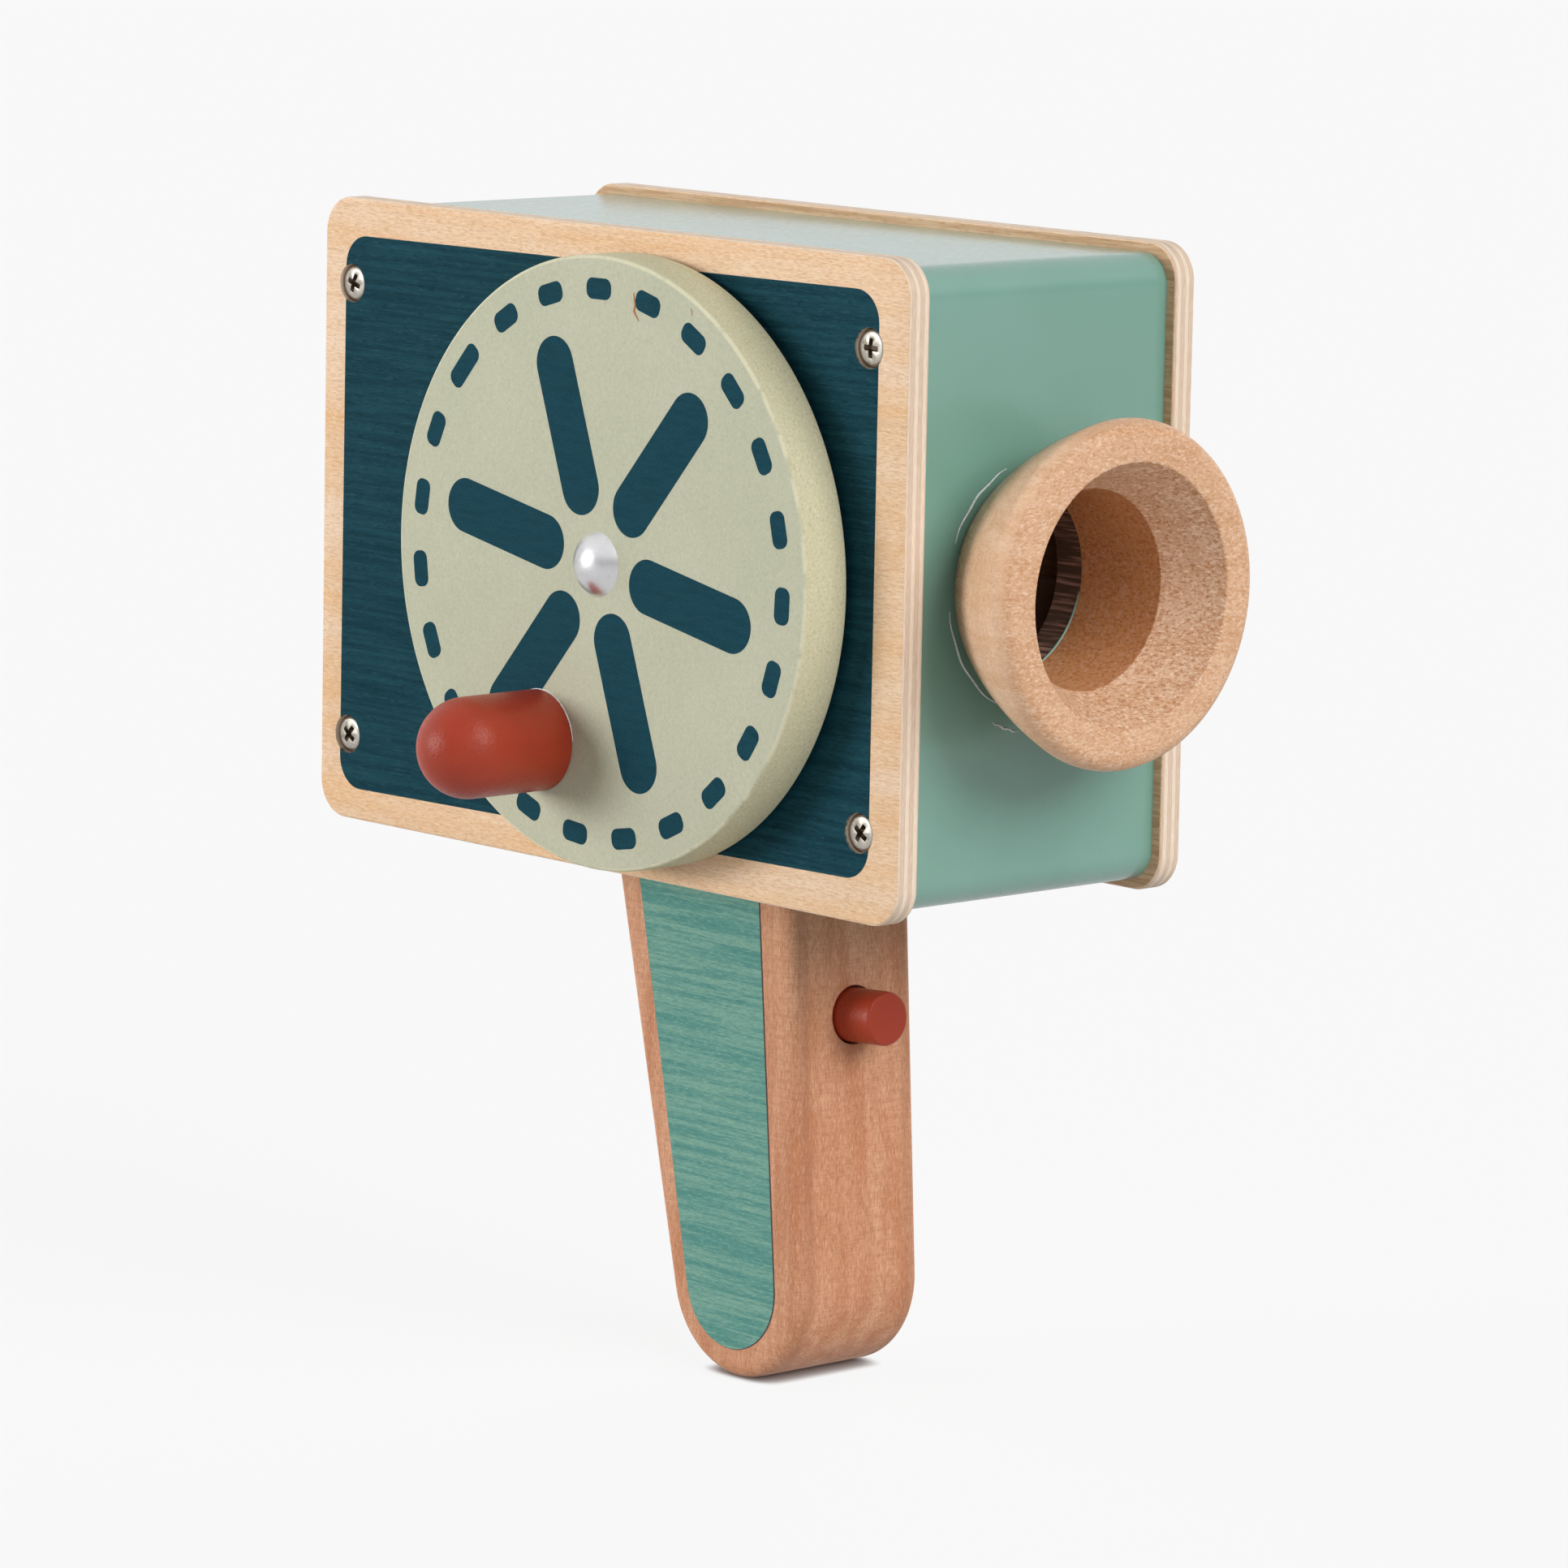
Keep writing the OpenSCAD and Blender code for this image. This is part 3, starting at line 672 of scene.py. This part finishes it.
# Stained field, printed a little out of square, round the screws' counterbores
FIELD = [(-75.8, -54.0), (74.0, -52.0), (73.9, 54.0), (-75.4, 52.8)]
FIELD_R = 6.0
field_outline = rounded([(x, z, FIELD_R) for x, z in FIELD], closed=True, steps=14)
field = slab(fixed(field_outline), Y_FACE - COAT, Y_FACE + COAT_ROOT)
piece("stained_field", cut(field, [in_face(SINK_R, x, z, -CUT, CUT) for x, z in SCREWS]),
      ["teal"], "body", slot="birch_ply")

# Box

# How far a face is followed along its normal to see where it looks, how near the bore its wall lies, and
# the cosine to X below which a face is a wall
INSIDE, NEAR_BORE, BORE_WALL_BELOW = 3.0, 0.5, 0.5


def in_box(at, normal):
    """True for a face that looks into the box or a hole in it."""
    seen = at + normal * INSIDE
    return abs(seen.x) < X_FRONT and abs(seen.z) < Z_TOP and Y_RIGHT_IN < seen.y < Y_LEFT_IN


def in_bore(at, normal):
    """True for the wall of the front board's hole, where the lens's bore runs on."""
    wall = at.x > 0 and abs(normal.x) < BORE_WALL_BELOW
    return wall and math.hypot(at.y - Y_MID, at.z) < BORE_R + NEAR_BORE


def board(name, node, x_range, z_range, radii, tools=()):
    """Board across the box. The radii are those of its lower and its upper corners."""
    (x_low, x_high), (z_low, z_high), (r_low, r_high) = x_range, z_range, radii
    lower = [(x_low, z_low, r_low), (x_high, z_low, r_low)]
    upper = [(x_high, z_high, r_high), (x_low, z_high, r_high)]
    solid = slab(fixed(rounded(lower + upper, closed=True, steps=12)), Y_RIGHT_IN, Y_LEFT_IN)
    obj = piece(name, cut(solid, tools) if tools else solid, ["green", "raw", "shaded_hole"], "body", [node],
                slot="green_paint")
    paint_faces(obj, 1, in_box)
    paint_faces(obj, 2, in_bore)


def along_x(r, x_low, x_high):
    return rod(r, x_low, x_high, (0, Y_MID, 0), ALONG_X, segments=96)


def along_z(r, x, z_low, z_high):
    return rod(r, z_low, z_high, (x, Y_MID, 0), ALONG_Z)


z_in, x_in = Z_TOP - LONG_T, X_FRONT - END_T
board("box_top", "top_board", (-X_FRONT, X_FRONT), (z_in, Z_TOP), (0, BOX_R))
board("box_bottom", "bottom_board", (-X_FRONT, X_FRONT), (-Z_TOP, -z_in), (BOX_R, 0),
      [along_z(SHANK_HOLE_R, x, -Z_TOP - CUT, CUT - z_in) for x in GRIP_SCREWS])
lens_seat = along_x(SPIGOT_R + SEAT_GAP, X_FRONT - SPIGOT_L - SEAT_GAP, X_FRONT + CUT)
board("box_front", "front_board", (x_in, X_FRONT), (-z_in, z_in), (0, 0),
      [lens_seat, along_x(BORE_R, x_in - CUT, X_FRONT)])
board("box_rear", "rear_board", (-X_FRONT, -x_in), (-z_in, z_in), (0, 0),
      [along_x(EYE_R, -X_FRONT - CUT, CUT - x_in)])

# Crank

wheel_profile = rounded([(AXLE_R, 0, 0), (WHEEL_R, 0, WHEEL_EDGE), (WHEEL_R, WHEEL_T, WHEEL_EDGE),
                         (AXLE_R, WHEEL_T, 0)])
piece("wheel", lathe(wheel_profile, (CRANK_X, Y_WHEEL, CRANK_Z), ALONG_Y, 256),
      ["sage"], "crank", ["crank_wheel"], slot="sage_paint")


def on_wheel(turn, radius):
    """(x, z) at a turn clockwise from the top, seen from the crank side."""
    angle = math.radians(turn)
    return CRANK_X + radius * math.sin(angle), CRANK_Z + radius * math.cos(angle)


def mark(centre, turn, across, along, r):
    """Printed bar on the wheel, by its sizes across and along the radius at that turn."""
    shape = rectangle(-across / 2, across / 2, -along / 2, along / 2, r, steps=10)()
    spin = Matrix.Rotation(-math.radians(turn), 2)
    placed = [tuple(Vector(centre) + spin @ Vector(p)) for p in shape]
    return slab(fixed(placed), Y_WHEEL - COAT, Y_WHEEL + COAT_ROOT)


# Print: radii and turns of the marks, and their sizes across and along the radius and at their corners.
# The dashes are counted before and after the one at the top, and a longer one closes the gap that is left.
DASH_AT, DASH_TOP, DASH_PITCH, DASH = 50.5, -0.6, 15.507, (6.8, 3.9, 1.6)
DASHES_BEFORE, DASHES_AFTER = 2, 19
LONG_DASH_TURN, LONG_DASH = 311.0, (9.7, 3.9, 1.6)
SPOKES, SPOKE_AT, SPOKE_FIRST, SPOKE = 6, 26.2, -19.2, (10.2, 33.6, 5.09)
dash_turns = [DASH_TOP + DASH_PITCH * k for k in range(-DASHES_BEFORE, DASHES_AFTER + 1)]
dashes = [(turn, DASH) for turn in dash_turns] + [(LONG_DASH_TURN, LONG_DASH)]
marks = [mark(on_wheel(turn, DASH_AT), turn, *size) for turn, size in dashes]
for k in range(SPOKES):
    turn = SPOKE_FIRST + 360 / SPOKES * k
    marks.append(mark(on_wheel(turn, SPOKE_AT), turn, *SPOKE))
piece("wheel_print", join(marks), ["print"], "crank", slot="sage_paint")

# Two scratches beside the dashes, one down to the wood: half widths, and (x, z) along them
SCRATCHES = [(0.26, ((21.0, 50.0), (21.5, 47.6), (21.2, 46.6), (22.5, 44.9))),
             (0.14, ((36.6, 48.4), (36.9, 47.8), (37.0, 47.0)))]
scratches = []
for half, route in SCRATCHES:
    path = [Vector((x, Y_WHEEL, z)) for x, z in route]
    scratches.append(tube(path, swell(half, thin=0.4), sides=6))
piece("wheel_scratches", join(scratches), ["scuff"], "crank", slot="sage_paint")

peg_x, peg_z = on_wheel(PEG_ANGLE, PEG_THROW)
PEG_EDGE, DOME_STEPS = 0.25, 24
quarter = evenly(0, math.pi / 2, DOME_STEPS)[:-1]
dome = [(PEG_R * math.cos(a), PEG_L - PEG_R * (1 - math.sin(a))) for a in quarter] + [(0.0, PEG_L)]
tenon = [(0.0, -TENON_L), (TENON_R, -TENON_L), (TENON_R, 0.0)]
peg_profile = tenon + [(PEG_R - PEG_EDGE, 0.0), (PEG_R, PEG_EDGE)] + dome
piece("peg", lathe(peg_profile, (peg_x, Y_WHEEL, peg_z), OUT_RIGHT, 128, closed=False),
      ["red"], "crank", ["crank_peg"], slot="red_paint")

# Bead of glue along the upper front side of the peg's foot.
# Its near-white colour is a painted highlight of the foot's edge.
BEAD_TURNS, BEAD_R, BEAD_STEPS = (-22, 86), 0.17, 40
bead = []
for angle in map(math.radians, evenly(*BEAD_TURNS, BEAD_STEPS)):
    bead.append(Vector((peg_x + PEG_R * math.sin(angle), Y_WHEEL, peg_z + PEG_R * math.cos(angle))))
piece("peg_glue_and_highlight", tube(bead, swell(BEAD_R, thin=0.25, power=0.7)), ["glue_and_highlight"], "crank", slot="sage_paint")

# Cap: part of a ball, with a socket for the axle
CAP_STEPS = 20
cap_ball = (CAP_H ** 2 + CAP_R ** 2) / (2 * CAP_H)
cap_turns = [math.asin(CAP_R / cap_ball) * (1 - k / CAP_STEPS) for k in range(CAP_STEPS)]
cap_top = [(cap_ball * math.sin(a), CAP_H - cap_ball * (1 - math.cos(a))) for a in cap_turns]
socket_r = AXLE_R + TIGHT_GAP
cap_profile = [(socket_r, SOCKET_L), (socket_r, 0.0)] + cap_top + [(0.0, CAP_H), (0.0, SOCKET_L)]
piece("cap", lathe(cap_profile, (CRANK_X, Y_WHEEL, CRANK_Z), OUT_RIGHT, 96),
      ["bright"], "crank", ["axle_cap"], slot="bright_metal")

# Lens

SIDE_STEPS, RIM_STEPS, MOUTH_EDGE, BORE_EDGE = 16, 14, 0.6, 0.8
rim = Vector((RIM_R - RIM_ROUND, LENS_L - RIM_ROUND))
flare = math.atan2(RIM_R - FOOT_R, rim.y)
foot, side_top = Vector((FOOT_R, 0)), rim + RIM_ROUND * Vector((math.cos(flare), -math.sin(flare)))
side_run = side_top - foot
bulge = Vector((side_run.y, -side_run.x)).normalized()
side = [tuple(foot + side_run * t + bulge * BOW * 4 * t * (1 - t)) for t in evenly(0, 1, SIDE_STEPS)]
rim_turns = evenly(-flare, math.pi / 2, RIM_STEPS)[1:]
rim_arc = [tuple(rim + RIM_ROUND * Vector((math.cos(a), math.sin(a)))) for a in rim_turns]
mouth = rounded([(rim.x, LENS_L, 0), (MOUTH_R, LENS_L, MOUTH_EDGE), (BORE_R, LENS_L - MOUTH_DEPTH, BORE_EDGE),
                 (BORE_R, -SPIGOT_L, 0)])[1:]
lens_profile = [(SPIGOT_R, -SPIGOT_L), (SPIGOT_R, 0.0)] + side + rim_arc + mouth
piece("lens", lathe(lens_profile, (X_FRONT, Y_MID, 0), ALONG_X, 224),
      ["maple"], "body", ["lens_barrel"], slot="maple")


def round_lens(x, r, angle):
    """Point on a circle round the lens's axis."""
    return Vector((x, Y_MID + r * math.cos(angle), r * math.sin(angle)))


# Run of paint in the front board's hole, just behind the lens, low on the left-hand side of the toy
RUN_TURNS, RUN_R, RUN_STEPS = (-78, -12), 0.26, 24
run_x = X_FRONT - SPIGOT_L - RUN_R
run_path = [round_lens(run_x, BORE_R, math.radians(turn)) for turn in evenly(*RUN_TURNS, RUN_STEPS)]
piece("bore_paint", tube(run_path, swell(RUN_R, thin=0.2, power=0.5)), ["green"], "body",
      slot="green_paint")

# Threads of dried glue on the front board: radii from the lens axis, and turns seen from the front.
# Their near-white colour is a painted highlight, standing for clear glue that catches the light.
THREADS = [(23.05, 23.1, 113, 158), (22.6, 23.6, 189, 245), (27.0, 27.3, 246, 260)]
THREAD_R, THREAD_STEPS, WAVE, WAVE_TURN = 0.2, 32, 0.12, 17
threads = []
for r_first, r_last, first, last in THREADS:
    path = []
    for t in evenly(0, 1, THREAD_STEPS):
        r = r_first + (r_last - r_first) * t + WAVE * math.sin(WAVE_TURN * t)
        path.append(round_lens(X_FRONT + THREAD_R / 2, r, math.radians(first + (last - first) * t)))
    threads.append(tube(path, swell(THREAD_R, thin=0.35)))
piece("lens_glue_and_highlight", join(threads), ["glue_and_highlight"], "body", slot="green_paint")

# Grip


def lean(point, end, r, sign):
    """Angle from straight down of the line from a point that touches a round end."""
    reach = Vector((end[0] - point[0], point[1] - end[1]))
    return math.atan2(reach.x, reach.y) + sign * math.asin(r / reach.length)


END_STEPS, EDGE_STEPS = 40, 14


def grip_outline(front, rear, end, end_r):
    """Outline of the grip's side: two leaning edges and a round end. Its top isn't drawn in."""
    top = -Z_TOP
    lean_f, lean_r = lean((front, top), end, end_r, 1), lean((rear, top), end, end_r, -1)

    def outline(inset=0.0):
        r = end_r - inset
        low_f = Vector(end) + r * Vector((math.cos(lean_f), math.sin(lean_f)))
        low_r = Vector(end) - r * Vector((math.cos(lean_r), math.sin(lean_r)))
        top_f = Vector((low_f.x - (top - low_f.y) * math.tan(lean_f), top))
        top_r = Vector((low_r.x - (top - low_r.y) * math.tan(lean_r), top))
        shares = evenly(0, 1, EDGE_STEPS)
        turns = evenly(math.pi + lean_r, 2 * math.pi + lean_f, END_STEPS)
        points = [top_r.lerp(low_r, share) for share in shares[:-1]]
        points += [Vector(end) + r * Vector((math.cos(a), math.sin(a))) for a in turns]
        points += [low_f.lerp(top_f, share) for share in shares[1:]]
        return [tuple(p) for p in points]
    return outline


FRONT_LEAN = lean((GRIP_FRONT, -Z_TOP), GRIP_END, GRIP_END_R, 1)
TRIGGER_AT = Vector((GRIP_FRONT + TRIGGER_DROP * math.tan(FRONT_LEAN), Y_MID, -Z_TOP - TRIGGER_DROP))
TRIGGER_TURN = Matrix.Translation(TRIGGER_AT) @ Matrix.Rotation(-FRONT_LEAN, 4, "Y")
BUTTON_END, HOLE_END = TRIGGER_OUT - TRIGGER_L, -TRIGGER_HOLE_L
PIN_AT = BUTTON_END + PIN_FROM_END


def on_trigger_axis(bm):
    """Moves a shape from the trigger's own axes, +X out of the grip's front edge, to its place."""
    bmesh.ops.transform(bm, matrix=TRIGGER_TURN, verts=bm.verts)
    return bm


pin_start = PIN_COVER - STOP_GAP - GRIP_T / 2
grip_holes = [
    on_trigger_axis(rod(TRIGGER_HOLE_R, HOLE_END, TRIGGER_OUT * 2, ORIGIN, ALONG_X)),
    on_trigger_axis(rod(PIN_R + TIGHT_GAP, pin_start, GRIP_T, (PIN_AT, 0, 0), ALONG_Y)),
]
grip_holes += [along_z(SHANK_R + TIGHT_GAP, x, -Z_TOP - SCREW_DEPTH, -Z_TOP + CUT) for x in GRIP_SCREWS]
grip_side = grip_outline(GRIP_FRONT, GRIP_REAR, GRIP_END, GRIP_END_R)
piece("grip_wood", cut(slab(grip_side, *Y_GRIP, GRIP_EDGE, steps=8), grip_holes, GRIP_HOLE_EASE),
      ["beech"], "body", ["grip"], slot="beech")

# Stained panels on both faces, each over a thin dark line that shows at its front border
PANEL_FRONT, PANEL_REAR, PANEL_END, PANEL_END_R = 22.4, -12.0, (17.0, -138.9), 12.2
BORDER_SHIFT, BORDER_OUT = 0.3, 0.08
panel_outline = grip_outline(PANEL_FRONT, PANEL_REAR, PANEL_END, PANEL_END_R)
border_outline = [(x + BORDER_SHIFT, z) for x, z in panel_outline(-BORDER_OUT)]
for side_name, y, outward in (("right", Y_GRIP[0], -1), ("left", Y_GRIP[1], 1)):
    for name, outline, look, coat in (("panel_", panel_outline, "panel", COAT),
                                      ("panel_border_", fixed(border_outline), "border", COAT / 2)):
        low, high = sorted((y + outward * coat, y - outward * COAT_ROOT))
        piece(name + side_name, slab(outline, low, high), [look], "body", slot="green_paint")

# Button, with rounded ends and a slot in which the pin stops it
BUTTON_INNER_R, BUTTON_OUTER_R, SLOT_R = 0.4, 0.6, 0.3
button_profile = rounded([(0.0, BUTTON_END, 0), (TRIGGER_R, BUTTON_END, BUTTON_INNER_R),
                          (TRIGGER_R, TRIGGER_OUT, BUTTON_OUTER_R), (0.0, TRIGGER_OUT, 0)])
slot_half = PIN_R + STOP_GAP
slot_side = rectangle(PIN_AT - slot_half, PIN_AT + slot_half + TRAVEL, -slot_half, slot_half, SLOT_R, steps=3)
slot_tool = slab(slot_side, -TRIGGER_R * 2, TRIGGER_R * 2)
button = cut(lathe(button_profile, ORIGIN, ALONG_X, 96, closed=False), [slot_tool])
piece("button", on_trigger_axis(button), ["red"], "trigger", ["trigger_button"], slot="red_paint")

# Spring, drawn as it stands at rest; the button squeezes it when pressed. Its wire is a touch thinner than
# the solid's.
TURN_STEPS, WIRE_SHARE = 28, 0.98
spring_first, spring_last = HOLE_END + WIRE_R, BUTTON_END - WIRE_R
coil = []
for t in evenly(0, 1, SPRING_TURNS * TURN_STEPS):
    x, angle = spring_first + (spring_last - spring_first) * t, 2 * math.pi * SPRING_TURNS * t
    coil.append(Vector((x, SPRING_R * math.cos(angle), SPRING_R * math.sin(angle))))
spring = piece("spring", on_trigger_axis(tube(coil, lambda t: WIRE_R * WIRE_SHARE, sides=10)),
               ["steel"], "body", ["trigger_spring"], slot="steel")
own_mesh(spring)

# Screws

# Lengths of a screw and of its tip, radius of the tip, and how far the head's middle rises over its edge
SCREW_L, TIP_L, TIP_R, HEAD_RISE = 20.0, 4.0, 0.6, 0.35
HEAD_INNER_R, HEAD_OUTER_R = 0.2, 0.8
RECESS_L, RECESS_W, RECESS_DEPTH, RECESS_R, RECESS_TAPER = 5.1, 1.2, 1.3, 0.3, (0.45, 0.7)
# How near a face's centre has to be to count, and the cosine to Y below which it is a wall
NEAR, WALL_BELOW = 0.1, 0.7


def screw(x, z, turn):
    """Plate screw with a nearly flat head, rounded at its edge, and a cross recess."""
    seat = Y_FACE + SINK_L
    shank = [(0.0, -SCREW_L, 0), (TIP_R, -SCREW_L, 0), (SHANK_R, TIP_L - SCREW_L, 0), (SHANK_R, 0.0, 0)]
    head = [(HEAD_R, 0.0, HEAD_INNER_R), (HEAD_R, HEAD_H - HEAD_RISE, HEAD_OUTER_R), (0.0, HEAD_H, 0)]
    solid = lathe(rounded(shank + head), (x, seat, z), OUT_RIGHT, 64, closed=False)
    cross = rectangle(-RECESS_L / 2, RECESS_L / 2, -RECESS_W / 2, RECESS_W / 2, RECESS_R, steps=4)
    arms = []
    for angle in (turn, turn + 90):
        arm = slab(cross, -CUT, RECESS_DEPTH)
        for vert in arm.verts:
            if vert.co.y > 0:
                vert.co.x *= RECESS_TAPER[0]
                vert.co.z *= RECESS_TAPER[1]
        bmesh.ops.rotate(arm, verts=arm.verts, matrix=Matrix.Rotation(math.radians(angle), 3, "Y"))
        bmesh.ops.translate(arm, verts=arm.verts, vec=(x, seat - HEAD_H, z))
        arms.append(arm)
    return cut(solid, arms, RECESS_EASE)


def in_recess(at, normal):
    """True for a face of a screw's cross recess."""
    near = min(math.hypot(at.x - x, at.z - z) for x, z in SCREWS)
    depth = at.y - (Y_FACE + SINK_L - HEAD_H)
    within = near < RECESS_L / 2 + NEAR and depth < HEAD_H - NEAR
    return within and (abs(normal.y) < WALL_BELOW or depth > RECESS_DEPTH / 2)


SCREW_TURNS = (38, 20, 35, 2)
screws = piece("screws", join([screw(x, z, turn) for (x, z), turn in zip(SCREWS, SCREW_TURNS)]),
               ["steel", "recess_shade"], "body", ["plate_screws"], slot="steel")
# The faces of the cross recesses take the darker steel: painted shade
paint_faces(screws, 1, in_recess)

# Inner pieces keep their solids

INNER = {
    "steel": ("crank_axle", "wheel_washer", "inner_washer", "axle_retainer", "trigger_pin", "grip_screws"),
    "beech": ("axle_block",),
}
for look, nodes in INNER.items():
    for node in nodes:
        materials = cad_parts[node].data.materials
        materials.clear()
        materials.append(LOOKS[look])

# Stage: floor, world, lamps and camera

BACKGROUND = srgb(248, 248, 248)
AZIMUTH, ELEVATION = 47.478, 8.9325


def direction(azimuth, elevation):
    """Unit vector towards an azimuth, 0 on the -Y side and 90 at +X, and an elevation."""
    a, e = math.radians(azimuth), math.radians(elevation)
    return Vector((math.sin(a) * math.cos(e), -math.cos(a) * math.cos(e), math.sin(e)))


class Stage(Tree):
    """Shader tree of the floor or the world."""

    def rays(self):
        """Factors that are 1 for what the camera or a clear body sees, and for what gloss shows."""
        path = self.add("ShaderNodeLightPath").outputs
        seen = self.math("MAXIMUM", path["Is Camera Ray"], path["Is Transmission Ray"])
        return seen, path["Is Glossy Ray"]

    def either(self, factor, a, b):
        """Mix of two shaders."""
        return self.add("ShaderNodeMixShader", factor, a.outputs[0], b.outputs[0])


# The floor shows white, a small share of the object's shadow, and a dark line where the two touch, which is a
# painted contact shadow. CONTACT is the line's reach in metres, and CLEAR are the shares of open sky between
# which it fades
SHADOW_SHARE, FLOOR_ALBEDO, FLOOR_GLOSS = 0.11, 0.56, 0.62
CONTACT, CLEAR = 0.0035, (0.20, 0.75)


def floor_material():
    mat = bpy.data.materials.new("floor")
    mat.use_nodes = True
    stage = Stage(mat.node_tree)
    seen, mirrored = stage.rays()
    shaded = stage.add("ShaderNodeBsdfDiffuse", grey(FLOOR_ALBEDO))
    # Painted contact shadow: where the object is near, the floor turns from white to its darker diffuse
    # shading
    touch = stage.add("ShaderNodeAmbientOcclusion", None, CONTACT)
    clear = stage.band(touch.outputs["AO"], *CLEAR)
    share = stage.times(stage.times(seen, 1 - SHADOW_SHARE), clear)
    lit = stage.either(share, shaded, stage.add("ShaderNodeEmission", grey(1.0)))
    both = stage.either(mirrored, lit, stage.add("ShaderNodeEmission", grey(FLOOR_GLOSS)))
    stage.add("ShaderNodeOutputMaterial", both.outputs[0])
    return mat


FLOOR_HALF = 20.0
floor_corners = [(-1, -1), (1, -1), (1, 1), (-1, 1)]
floor_mesh = bpy.data.meshes.new("floor")
floor_mesh.from_pydata([(x * FLOOR_HALF, y * FLOOR_HALF, 0) for x, y in floor_corners], [], [(0, 1, 2, 3)])
floor = bpy.data.objects.new("floor", floor_mesh)
floor.location.z = Z_FLOOR * MM
floor_mesh.materials.append(floor_material())
bpy.context.scene.collection.objects.link(floor)

# World: even dim light, a white backdrop, and in gloss a bright room with a dark band low on the near side.
# The band fades by the cosine to the far side and by the sine of the height.
AMBIENT, ROOM_DARK, ROOM_BRIGHT = 0.095, 0.34, 0.76
FAR_FADE, HEIGHT_FADE = (0.25, 0.75), (0.15, 0.45)
world = bpy.data.worlds.new("studio")
bpy.context.scene.world = world
world.use_nodes = True
stage = Stage(world.node_tree)
seen, mirrored = stage.rays()
toward = stage.add("ShaderNodeTexCoord").outputs["Generated"]
away = -direction(AZIMUTH, 0)
behind = stage.vector("DOT_PRODUCT", toward, tuple(away))["Value"]
height = stage.add("ShaderNodeSeparateXYZ", toward).outputs[2]
bright = stage.math("MAXIMUM", stage.band(behind, *FAR_FADE), stage.band(height, *HEIGHT_FADE))
room = stage.mix(bright, grey(ROOM_DARK), grey(ROOM_BRIGHT))
dim = stage.add("ShaderNodeBackground", None, AMBIENT)
inner = stage.either(mirrored, dim, stage.add("ShaderNodeBackground", room))
outer = stage.either(seen, inner, stage.add("ShaderNodeBackground", BACKGROUND))
stage.add("ShaderNodeOutputWorld", outer.outputs[0])


def lamp(name, azimuth, elevation, strength, spread, mirrored):
    """Soft far light from a direction. Where it isn't mirrored, no gloss shows it."""
    data = bpy.data.lights.new(name, "SUN")
    data.energy = strength
    data.angle = math.radians(spread)
    obj = bpy.data.objects.new(name, data)
    obj.rotation_euler = direction(azimuth, elevation).to_track_quat("Z", "Y").to_euler()
    obj.visible_glossy = mirrored
    bpy.context.scene.collection.objects.link(obj)


# Lamps: azimuth, elevation, strength, spread in degrees, and whether gloss shows them. Only part of the
# light shows in gloss, so that the top face keeps its colour from every side.
LAMPS = {
    "left_softbox": (-33, 7, 1.55, 28, False),
    "left_gleam": (-33, 7, 0.9, 28, True),
    "left_rim": (-75, 15, 1.1, 40, False),
    "right_softbox": (96, 34, 1.55, 36, False),
    "right_gleam": (96, 34, 0.7, 36, True),
    "front_fill": (70, 6, 0.85, 50, False),
    "back_fill": (205, 8, 2.0, 50, False),
}
for name, values in LAMPS.items():
    lamp(name, *values)

# Camera: its place, its roll, and its focal length in pixels of a square picture PHOTO pixels wide
CAMERA_AT = Vector((1053.585, -990.528, 176.502)) * MM
ROLL = math.radians(1.132)
PHOTO, FOCAL, SENSOR = 1932, 9373.8, 36.0
back = direction(AZIMUTH, ELEVATION)
level = direction(AZIMUTH + 90, 0)
upright = back.cross(level)
right = level * math.cos(ROLL) + upright * math.sin(ROLL)
up = back.cross(right)
camera_data = bpy.data.cameras.new("camera")
camera_data.sensor_width = SENSOR
camera_data.lens = SENSOR * FOCAL / PHOTO
camera = bpy.data.objects.new("camera", camera_data)
camera.matrix_world = Matrix.Translation(CAMERA_AT) @ Matrix((right, up, back)).transposed().to_4x4()
bpy.context.scene.collection.objects.link(camera)
bpy.context.scene.camera = camera
bpy.context.scene.view_settings.view_transform = "Standard"
